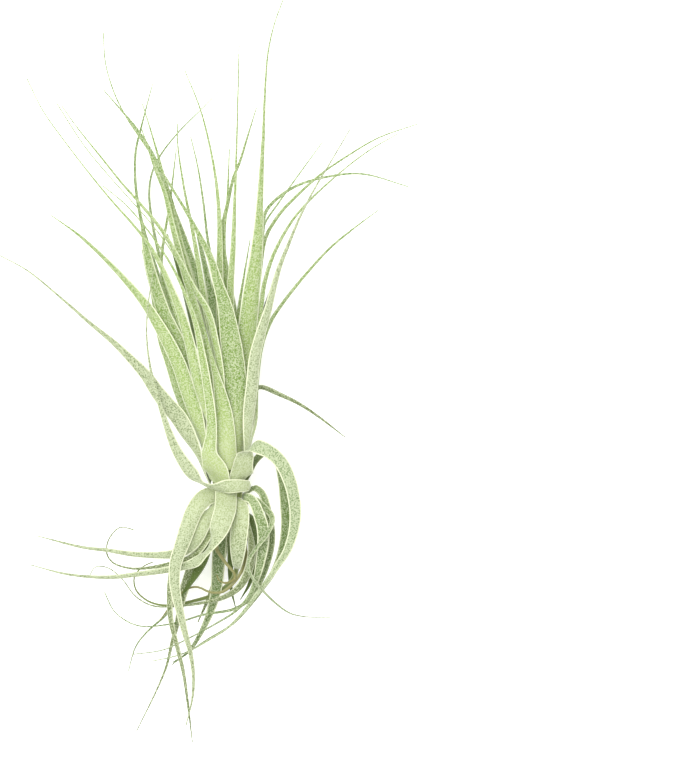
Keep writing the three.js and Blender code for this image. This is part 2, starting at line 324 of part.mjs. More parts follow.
// A blade of four-cornered sections: left margin, keel, right margin and the bottom of the channel
function leafGeometry(
  {
    root, sheath, blade, halfway, turn, facing = root[0], channel = CHANNEL,
    strap: [strapWidth, strapHalfway] = [TIP_WIDTH, 1], twists = [],
  },
  path,
) {
  const points = [rootPoint(root), ...path.map((point) => new THREE.Vector3(...point))];
  const line = stations(points);
  const length = line[line.length - 1].distance;
  const normal = outward(facing);
  const corners = [];
  for (const { middle, along, distance } of line) {
    const share = distance / length;
    const flare = Math.exp(-((distance / SHEATH_LENGTH) ** 2));
    const width = TIP_WIDTH + (strapWidth - TIP_WIDTH) * taper(share / strapHalfway)
      + (blade - strapWidth) * taper(share / halfway) + (sheath - blade) * flare;
    const thickness = THREE.MathUtils.lerp(ROOT_THICKNESS, TIP_THICKNESS, share);
    normal.addScaledVector(along, -normal.dot(along)).normalize();
    let turned = 0;
    for (const [degrees, from, to] of [[turn, 0, TURN_LENGTH], ...twists]) {
      turned += degrees * THREE.MathUtils.smoothstep(distance, from, to);
    }
    const keelward = normal.clone().applyAxisAngle(along, THREE.MathUtils.degToRad(turned));
    const sideways = new THREE.Vector3().crossVectors(along, keelward);
    const margin = middle.clone().addScaledVector(keelward, -channel * width);
    corners.push(
      margin.clone().addScaledVector(sideways, -width / 2),
      middle.clone().addScaledVector(keelward, thickness / 2),
      margin.clone().addScaledVector(sideways, width / 2),
      middle.clone().addScaledVector(keelward, -thickness / 2),
    );
  }
  for (const corner of corners) {
    corner.z = Math.max(corner.z, 0);
  }
  return skin(corners, line.length);
}

// Joins the sections and closes both ends. Every cut runs from a margin to the next section's
// keel or channel, alike on both faces, so the two faces never cross.
function skin(corners, sections) {
  const faces = [];
  const at = (section, corner) => section * 4 + corner;
  for (let i = 0; i < sections - 1; i += 1) {
    for (const [margin, spine, flip] of [[0, 1, false], [2, 1, true], [2, 3, false], [0, 3, true]]) {
      const near = [at(i, margin), at(i, spine), at(i + 1, spine)];
      const far = [at(i, margin), at(i + 1, spine), at(i + 1, margin)];
      for (const face of [near, far]) {
        faces.push(...(flip ? face.reverse() : face));
      }
    }
  }
  const last = sections - 1;
  faces.push(at(0, 0), at(0, 3), at(0, 1), at(0, 1), at(0, 3), at(0, 2));
  faces.push(at(last, 0), at(last, 1), at(last, 3), at(last, 1), at(last, 2), at(last, 3));
  const geometry = new THREE.BufferGeometry();
  geometry.setFromPoints(corners);
  geometry.setIndex(faces);
  return geometry;
}

function stemMesh() {
  const profile = STEM_PROFILE.map(([radius, along]) => new THREE.Vector2(radius, along));
  const mesh = new THREE.Mesh(new THREE.LatheGeometry(profile, STEM_SIDES), finish(STEM));
  mesh.name = "stem";
  mesh.rotation.x = AXIS_TILT;
  mesh.position.z = AXIS_HEIGHT;
  return mesh;
}

function finish({ color, roughness }) {
  return new THREE.MeshStandardMaterial({ color, roughness, metalness: 0 });
}

const plant = new THREE.Group();
plant.name = "air_plant";
plant.add(stemMesh());
for (const [name, look, shape, path] of [
  ...UPPER_LEAVES, ...ARCHING_LEAVES, ...RESTING_LEAVES, ...LOWER_LEAVES,
]) {
  const mesh = new THREE.Mesh(leafGeometry(shape, path), finish(look));
  mesh.name = name;
  plant.add(mesh);
}

export default plant;
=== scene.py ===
import math
import random

import bpy
from mathutils import Matrix, Vector


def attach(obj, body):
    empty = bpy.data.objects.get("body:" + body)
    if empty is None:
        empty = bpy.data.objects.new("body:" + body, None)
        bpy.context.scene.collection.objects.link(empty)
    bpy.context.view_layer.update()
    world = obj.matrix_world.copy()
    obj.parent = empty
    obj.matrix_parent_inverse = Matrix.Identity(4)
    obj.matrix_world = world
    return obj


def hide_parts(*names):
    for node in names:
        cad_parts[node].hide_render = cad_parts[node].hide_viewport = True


# The looks of a grown air plant, Tillandsia gardneri, lying on its side on a pale surface.
# Every leaf of the frame gets a fine blade, made along the same midline by the same rule: a
# thin lens of a section, bent into a channel, that narrows from its sheath to a thread. Over
# the blades lies the silvery scurf that this plant is known for. Metres, with the rows of
# leaves in millimetres; +Y runs from the neck to the longest leaf tips and +Z is up.

bl_info = {
    "name": "Air plant looks",
    "version": (1, 0, 0),
    "blender": (4, 5, 0),
    "location": "3D View > Sidebar > Air plant",
    "description": "Blades, scurf, colours and soft light for a Tillandsia gardneri lying on its side",
    "category": "Object",
}

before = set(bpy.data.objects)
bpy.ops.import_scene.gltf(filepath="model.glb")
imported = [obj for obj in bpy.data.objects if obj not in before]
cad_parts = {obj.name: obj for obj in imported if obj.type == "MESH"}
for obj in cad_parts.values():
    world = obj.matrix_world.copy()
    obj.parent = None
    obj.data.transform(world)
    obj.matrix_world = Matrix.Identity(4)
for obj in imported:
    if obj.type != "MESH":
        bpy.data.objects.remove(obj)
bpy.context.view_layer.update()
BODY = "root"
SEED = 11

MM = 0.001

# Stem: its axis leaves the neck at AXIS_HEIGHT and rises a little towards the leaf tips
AXIS_HEIGHT = 28
AXIS_TILT = math.radians(3.4)
STEM_PROFILE = (
    # radius, distance along the stem from the neck
    (0, -13.5), (3.4, -13), (5, -8), (6, -2), (6, 4), (5.5, 12), (4.8, 20), (3.5, 30), (2, 37), (0, 40),
)
SEAT = 1.1  # from the stem's skin to the middle of a leaf's root

# The material slots of the record
FRESH = "leaf_fresh"
SILVER = "leaf_silver"
OLD = "leaf_old"
DRY = "leaf_dry"
STEM = "stem"

# Each leaf: its node and finish; where its root sits on the stem, as degrees round it from
# straight up (right is positive) and millimetres along it; the width of its sheath and of its
# blade; the share of its length where it has narrowed to half; where it turns about its own
# length, the degrees in turn; and the points that its midline passes through after the root.
# Where a root's back doesn't face straight out from the stem, facing gives its degrees from
# straight up, and channel is 0 on the flat leaves that touch the surface. A blade that first
# narrows to a strap has the strap's width and its own halfway share in strap. Each sharp twist is
# in twists: its degrees, and the distances along the leaf where it starts and ends.
UPPER_LEAVES = (
    ("upper_leaf_01", FRESH,
      dict(root=(-40, 2), sheath=10, blade=4.2, halfway=0.5, twists=((30, 0, 8),)),
      ((-5.4, 7, 37.5), (-7.4, 13.2, 40.2), (-6.5, 22, 42.8), (-6.8, 30, 45), (-8.5, 42, 48),
        (-10.5, 54, 50.5), (-13, 66, 53), (-16.5, 76, 55.5), (-21, 86, 57.8), (-26.5, 95, 59.5),
        (-33, 104, 61), (-41, 113, 61.8), (-49.5, 120, 61.5))),
    ("upper_leaf_02", FRESH, dict(root=(0, 7), sheath=8, blade=7.8, halfway=0.21),
      ((-0.4, 15, 38), (-1, 24, 40), (-2, 32, 41.6), (-4, 42, 44), (-6.5, 52, 46.3), (-9, 62, 48.6),
        (-12, 72, 50.8), (-15.5, 81, 52.6), (-20, 90, 54), (-25, 98, 55.2), (-32, 107, 56.6),
        (-40, 116, 58), (-48, 125, 59.2), (-57, 136, 60.2), (-68, 153, 60.5))),
    ("upper_leaf_03", FRESH, dict(root=(-28, 12), sheath=4, blade=3.4, halfway=0.6),
      ((-2.6, 22, 37), (-2.4, 34, 39.3), (-3, 46, 41.5), (-5, 58, 44), (-8, 70, 46.2), (-14, 80, 48),
        (-19, 90, 49.6), (-26, 102, 51.3), (-34, 112, 52.8), (-42, 121, 54.2), (-50, 131, 55.6),
        (-60, 143.5, 57), (-66, 152, 57.5))),
    ("upper_leaf_04", FRESH, dict(root=(28, 12), sheath=6.5, blade=9.8, halfway=0.36, turn=-20),
      ((4, 25, 37), (3.5, 36, 38.5), (2.5, 48, 40.5), (1, 60, 43), (-1, 72, 45.5), (-4, 82, 47.5),
        (-7, 92, 49.5), (-11.5, 101, 51.5), (-16.5, 110, 53.5), (-22, 119, 55.5), (-28, 129, 57.8),
        (-34, 138, 60), (-40, 147, 62.2), (-45, 157, 64.5), (-48.5, 169, 66.8), (-49.3, 181, 68.5))),
    ("upper_leaf_05", SILVER, dict(root=(72, 7.8), sheath=6.2, blade=5.4, halfway=0.5, turn=-55),
      ((8, 15, 34.8), (8.5, 28, 37.3), (9.8, 40, 38.8), (11, 52, 40), (13.5, 62, 41), (16, 70, 42),
        (18.5, 80, 43), (21, 88.5, 44), (24, 96, 45), (29, 108, 46), (35, 119.5, 47),
        (41, 129.5, 47.8), (49, 143, 48.5))),
    ("upper_leaf_06", FRESH, dict(root=(65.5, 17), sheath=4, blade=8.6, halfway=0.47, turn=-45),
      ((6.7, 27, 33), (6.8, 40, 33.8), (7, 52, 35.1), (7.8, 60, 36.3), (8.8, 70, 37.6), (10, 80, 39.2),
        (11.3, 90, 41), (12.2, 100, 42.8), (13.3, 120, 46.4), (14.3, 140, 49.8), (15.1, 160, 53),
        (16.3, 174, 55), (19, 185.5, 56.3), (22.5, 195, 57))),
    ("upper_leaf_07", FRESH, dict(root=(50, 26), sheath=2.6, blade=2, halfway=0.7, turn=-20),
      ((4, 45, 32.5), (4.2, 68, 33), (5, 75, 33.6), (6, 81, 34.2), (7, 87, 34.8), (9, 99, 36))),
    ("upper_leaf_08", FRESH, dict(root=(31, 21.5), sheath=2.8, blade=3.6, halfway=0.5, turn=-20),
      ((1.8, 30, 35.7), (1.3, 50, 36.8), (1.2, 80, 38), (2.2, 95, 39.5), (2.8, 112, 41.5),
        (3.5, 132, 44), (4, 150, 46.5), (4.6, 176, 49.5))),
    ("upper_leaf_09", FRESH, dict(root=(10, 30.5), sheath=2.4, blade=1.8, halfway=0.75),
      ((0, 45, 34), (-0.6, 65, 34.3), (-1, 85, 35), (-1.4, 98, 36), (-1, 106, 36.6), (-0.2, 113, 37.2),
        (0.7, 135, 39))),
    ("upper_leaf_10", FRESH, dict(root=(-26, 26), sheath=2.4, blade=3.6, halfway=0.55, turn=10),
      ((-2.1, 40, 35.3), (-2.8, 60, 36.1), (-3.2, 88, 38), (-3.3, 105, 39.8), (-4.5, 121, 41.5),
        (-7, 135.5, 43), (-11, 151, 44.5), (-17, 166, 45.8))),
    ("upper_leaf_11", FRESH, dict(root=(-4, 20), sheath=3, blade=3, halfway=0.6),
      ((-1.3, 32, 36), (-3.2, 45, 37.4), (-6, 60, 38.5), (-8.5, 70, 39.4), (-10.5, 82, 40.6),
        (-12.5, 94, 41.8), (-14.5, 105, 43), (-17.3, 119, 44.5), (-19.8, 136, 46.2), (-20, 145, 47))),
    ("upper_leaf_12", FRESH, dict(root=(-45, 31), sheath=2.4, blade=1.8, halfway=0.7, turn=20),
      ((-4.5, 45, 33.6), (-6.5, 58, 34), (-9.8, 70, 34), (-13.8, 82, 34.8), (-17.4, 94, 36),
        (-19.8, 104, 36.8), (-21.7, 113, 37.4), (-26.5, 128.5, 38.6))),
    ("upper_leaf_13", FRESH, dict(root=(-44, 22), sheath=3.2, blade=3.8, halfway=0.75, turn=20),
      ((-5, 30, 35.4), (-7.4, 45, 37), (-10, 60, 38.6), (-14, 75, 40.2), (-18, 88, 41.6),
        (-20.5, 98, 42.8), (-22.5, 106, 43.6), (-25, 117, 44.6), (-29, 127.5, 45.6), (-34.5, 143.5, 47))),
    ("upper_leaf_14", FRESH, dict(root=(-62, 26), sheath=3, blade=3.2, halfway=0.65, turn=40),
      ((-6, 38, 32.8), (-8.5, 55, 34), (-11.8, 70, 35), (-15, 83, 36.2), (-17.5, 92, 37),
        (-21, 107, 38.4), (-25.5, 124, 39.8), (-30, 140, 41), (-34, 153, 42))),
    ("upper_leaf_15", FRESH, dict(root=(-115, 26), sheath=2.4, blade=1.6, halfway=0.8, turn=90),
      ((-8, 38, 26.5), (-14, 52, 26), (-21, 68, 26.5), (-25.5, 80, 27.5), (-26.5, 90, 28.5),
        (-25.3, 100.5, 29.5), (-23.5, 111, 30.4), (-20.5, 135, 32))),
    ("upper_leaf_16", FRESH, dict(root=(-178, 27), sheath=3, blade=3, halfway=0.7),
      ((-2, 40, 23.5), (-6, 60, 23.5), (-11, 80, 24.5), (-17, 98, 26), (-23, 114, 28), (-29, 131, 30),
        (-36, 142.5, 31), (-43, 151, 32), (-49.5, 158.5, 33))),
    ("upper_leaf_17", FRESH, dict(root=(-150, 21.5), sheath=3, blade=2, halfway=0.8),
      ((-7, 32, 21.5), (-14, 48, 20), (-22, 68, 20), (-29, 88, 21), (-34, 104, 22.5), (-36.8, 120, 24),
        (-36.8, 134, 25), (-34.5, 144, 26), (-30, 161, 27.5))),
    ("upper_leaf_18", FRESH, dict(root=(-130, 17), sheath=4, blade=2.6, halfway=0.7),
      ((-9, 28, 21), (-14, 44, 17.5), (-20, 64, 15.5), (-26, 86, 15), (-30, 104, 16), (-31.5, 117, 17.5),
        (-30.5, 125, 18.3), (-27, 132.5, 19), (-20, 141.5, 20), (-11, 150.5, 21.5), (-3, 158.5, 23))),
    ("upper_leaf_19", FRESH, dict(root=(-155, 30.5), sheath=2.4, blade=1.4, halfway=0.8),
      ((-3, 50, 26), (-5, 75, 28), (-7, 93, 29.5), (-8.2, 100, 30.2), (-9.8, 114, 31.4),
        (-12, 128, 32.6), (-14.8, 140, 33.6))),
    ("upper_leaf_20", FRESH,
      dict(root=(84, 31), sheath=2.4, blade=5, halfway=0.45, turn=-60, strap=(1.6, 0.85)),
      ((4.6, 45, 29.6), (2, 70, 30), (-1, 88, 30), (-2.2, 101, 30.4), (0, 113, 31), (2.5, 124, 31.7),
        (4.6, 129, 32), (8, 140, 32.7), (11.5, 151.5, 33.4))),
    ("upper_leaf_21", FRESH, dict(root=(98, 21.5), sheath=3, blade=2.6, halfway=0.6, turn=-60),
      ((9.4, 35, 28.4), (11, 52, 30.8), (12.3, 64, 33), (13.5, 72, 33.8), (14.5, 80, 34.6), (16, 86, 35.2),
        (18.5, 93, 35.9), (24, 103.5, 37), (30, 111.5, 38), (42, 123, 39.5), (56, 134, 40.5),
        (68, 141, 41))),
    ("upper_leaf_22", FRESH, dict(root=(120, 26), sheath=2.6, blade=2.2, halfway=0.65, turn=-90),
      ((8, 45, 27.5), (10.5, 65, 28), (12.5, 82, 28.8), (14.5, 97, 29.5), (16, 101.5, 29.8),
        (19, 106.5, 30.2), (22, 110.5, 30.5), (30, 118.5, 31), (38, 125.5, 31.5), (46, 131, 32),
        (60, 139.3, 32.6), (76, 145, 33))),
    ("upper_leaf_23", FRESH, dict(root=(158, 21.5), sheath=3, blade=2, halfway=0.7),
      ((5, 38, 22), (8.5, 60, 21.5), (12, 85, 22), (14, 102, 22.8), (15, 109.5, 23.2), (19.5, 115, 23.6),
        (28, 120.5, 24), (42, 124.3, 24.5), (54, 125, 24.5), (72, 120, 24))),
    ("upper_leaf_24", FRESH, dict(root=(140, 30.5), sheath=2.4, blade=1.4, halfway=0.75),
      ((6, 50, 25.3), (9.5, 72, 25.3), (12.5, 92, 25.8), (14.8, 105, 26.2), (20, 113, 26.6),
        (26, 121.5, 27), (34, 132.5, 27.5), (38, 138, 27.8))),
    ("upper_leaf_25", FRESH, dict(root=(95, 12), sheath=6, blade=2, halfway=0.8, turn=-60),
      ((11, 25, 27.5), (11.6, 40, 27.3), (13.6, 56, 27.5), (17.2, 66, 27.8), (21, 72, 28),
        (30, 83.5, 28.3), (41, 95.5, 28.5), (50, 103, 28.4), (60, 110.5, 28))),
    ("upper_leaf_26", OLD, dict(root=(132, 17), sheath=3.6, blade=2.4, halfway=0.7, turn=-120),
      ((7, 26, 24.5), (8.5, 33, 24.5), (10, 37.5, 24.8), (12.3, 39.8, 25), (15, 39.5, 25),
        (20, 37.3, 24.8), (28, 33.5, 24.3), (35, 29, 23.8), (46.8, 20, 22.5))),
    ("upper_leaf_27", SILVER, dict(root=(-95, 2), sheath=7, blade=7, halfway=0.47, turn=90),
      ((-9.5, 7, 29.2), (-12.6, 14, 32.7), (-16.2, 21.5, 34.8), (-20, 28, 35), (-24.2, 33, 34.7),
        (-28.4, 38.3, 34.3), (-32.4, 44.2, 33.8), (-40.4, 52.8, 33), (-46.3, 58.4, 32.4),
        (-55, 65.5, 31.5), (-65, 74.2, 30.3), (-80, 86.5, 28.3), (-91, 92.5, 27))),
    ("upper_leaf_28", FRESH, dict(root=(-70, 7), sheath=4.8, blade=7, halfway=0.62, turn=50),
      ((-8.6, 13, 33.6), (-11, 22, 34.6), (-13.3, 30, 35.2), (-16, 38, 35.6), (-19, 47, 36),
        (-23, 56, 36.2), (-28, 65, 36.3), (-33, 73, 36.2), (-40, 81.5, 35.8), (-50, 92, 35),
        (-60, 101, 34), (-70.5, 108.5, 33))),
    ("upper_leaf_29", FRESH, dict(root=(-125, 7), sheath=7, blade=7, halfway=0.6, turn=95),
      ((-9.5, 15, 23), (-14, 26, 22), (-19, 38, 21.5), (-23, 50, 21.5), (-26, 58, 22), (-29, 72, 23.5),
        (-31, 85, 26), (-33.5, 105.5, 30))),
    ("upper_leaf_30", FRESH, dict(root=(-90, 12), sheath=5, blade=6.8, halfway=0.85, turn=70),
      ((-9.5, 22, 29), (-12.5, 32, 30), (-16, 44, 31.5), (-20, 57, 33.3), (-23.2, 64, 34.6),
        (-25.5, 69, 35.6), (-29, 80, 38), (-32, 92, 41.5), (-34.8, 106.5, 45.5))),
    ("upper_leaf_31", FRESH, dict(root=(-60, 17), sheath=3.2, blade=5.4, halfway=0.42, turn=36),
      ((-7, 24, 36.2), (-9.2, 32, 38.8), (-12, 42, 40.6), (-15.5, 58, 42), (-19, 70, 44), (-23, 80, 45.5),
        (-27, 89, 46.7), (-32, 97.5, 47.7), (-38, 105, 48.6), (-46, 114, 49.5), (-55, 125, 50.3),
        (-65, 138, 51), (-73.5, 150, 51.5), (-80, 163, 51.7))),
    ("upper_leaf_32", FRESH, dict(root=(-85, 21.5), sheath=3, blade=1.6, halfway=0.85, turn=60),
      ((-8.5, 34, 32), (-12, 48, 35), (-16, 58, 37.5), (-19.5, 66, 39.3), (-22.5, 75, 40.8),
        (-25, 83, 42), (-28.8, 98, 44.5))),
    ("upper_leaf_33", FRESH, dict(root=(-100, 31), sheath=2.6, blade=6, halfway=0.62, turn=60),
      ((-6.4, 41, 28), (-9, 50, 29.3), (-12.6, 62, 29.6), (-16.4, 75, 30), (-20.2, 88, 30.4),
        (-24, 101, 31))),
)

ARCHING_LEAVES = (
    ("collar_leaf", SILVER,
      dict(root=(80, 0.3), sheath=4, blade=6.2, halfway=0.43,
        twists=((-68, 14, 24), (68, 26, 35))),
      ((8.7, 0.6, 32.8), (7.8, 0.6, 36), (4.6, 0.6, 39), (0, 0.3, 40.2), (-4.6, -0.2, 39.8),
        (-9, 0.9, 38.6), (-13.3, 4.4, 37.6), (-17, 9, 37.6), (-20.4, 14.6, 38), (-23, 20.6, 38.6),
        (-25.4, 27.6, 39.3), (-28.2, 36.6, 40), (-30.4, 45.6, 40.8), (-31.9, 55, 41.3),
        (-32.3, 63, 41.8), (-31.8, 72, 42.2), (-29.5, 87, 43))),
    ("arching_leaf_1", SILVER,
      dict(root=(43, 2), sheath=9.2, blade=5.8, halfway=0.5,
        twists=((-62, -2, 8), (90, 12, 19.5), (50, 19, 24), (-30, 25, 45), (25, 45, 65))),
      ((5.6, 5.2, 36.6), (6.2, 9.4, 40), (7.1, 12.4, 42.2), (8.6, 15, 44), (10.8, 16, 45.6),
        (13, 15.9, 47), (15.3, 15.1, 48), (17.4, 13.8, 48.9), (19.6, 12, 49.5), (22.5, 8, 49.7),
        (24.9, 2, 49.4), (26.3, -3.8, 48.3), (27, -9.5, 46.8), (26.4, -17, 43.8), (23.8, -25, 40.5),
        (20, -31, 37.5), (16, -37, 34.5), (12, -42, 31.5), (6, -50, 27.5), (0, -56, 24.5),
        (-6, -60, 22), (-18, -66.5, 18), (-30, -69.5, 15))),
    ("arching_leaf_2", OLD, dict(root=(108, 3), sheath=6, blade=4.6, halfway=0.55, turn=-20),
      ((9, 6.5, 28), (12, 11.4, 30.5), (16.5, 14, 33), (20.3, 10.5, 35), (21.9, 3.4, 35.8),
        (22.7, -5, 35.8), (23, -15, 34.8), (21.5, -25, 32.5), (18, -34, 29.5), (14, -40, 27),
        (8, -48, 23), (2, -54.5, 20), (-10, -62, 16.3), (-22.5, -71, 13.5))),
    ("arching_leaf_3", OLD, dict(root=(180, 2), sheath=6, blade=6, halfway=0.7, channel=0),
      ((0, 7, 16.5), (0, 11.3, 11.5), (0, 12, 6.6), (0, 9, 2.4), (0, 4, 0), (0, -5, 0),
        (-0.5, -14, 0), (-2, -26, 1.2), (-6, -40, 3), (-12, -54, 5))),
)

RESTING_LEAVES = (
    ("resting_leaf_1", FRESH, dict(root=(172, 12), sheath=5, blade=6, halfway=0.7),
      ((0, 24, 16), (-1.5, 38, 10), (-3, 52, 6), (-5, 66, 4), (-7.5, 80, 3.6), (-10, 92, 4.5),
        (-13.5, 106, 7))),
    ("resting_leaf_2", FRESH, dict(root=(140, 7), sheath=6, blade=4.2, halfway=0.7, channel=0),
      ((7.6, 16, 16.5), (9.8, 28, 10.5), (10, 42, 5), (10.8, 54, 1.4), (12.8, 64, 0), (15.6, 74, 0),
        (18.5, 82, 0.6), (22, 92, 2.5))),
    ("resting_leaf_3", FRESH, dict(root=(-148, 12), sheath=5, blade=5, halfway=0.7, channel=0),
      ((-6, 22, 16), (-10.5, 34, 9.5), (-15.5, 46, 4), (-20.5, 57, 0.8), (-25, 66, 0), (-29, 75, 0),
        (-32, 84, 1), (-34.5, 95, 4))),
)

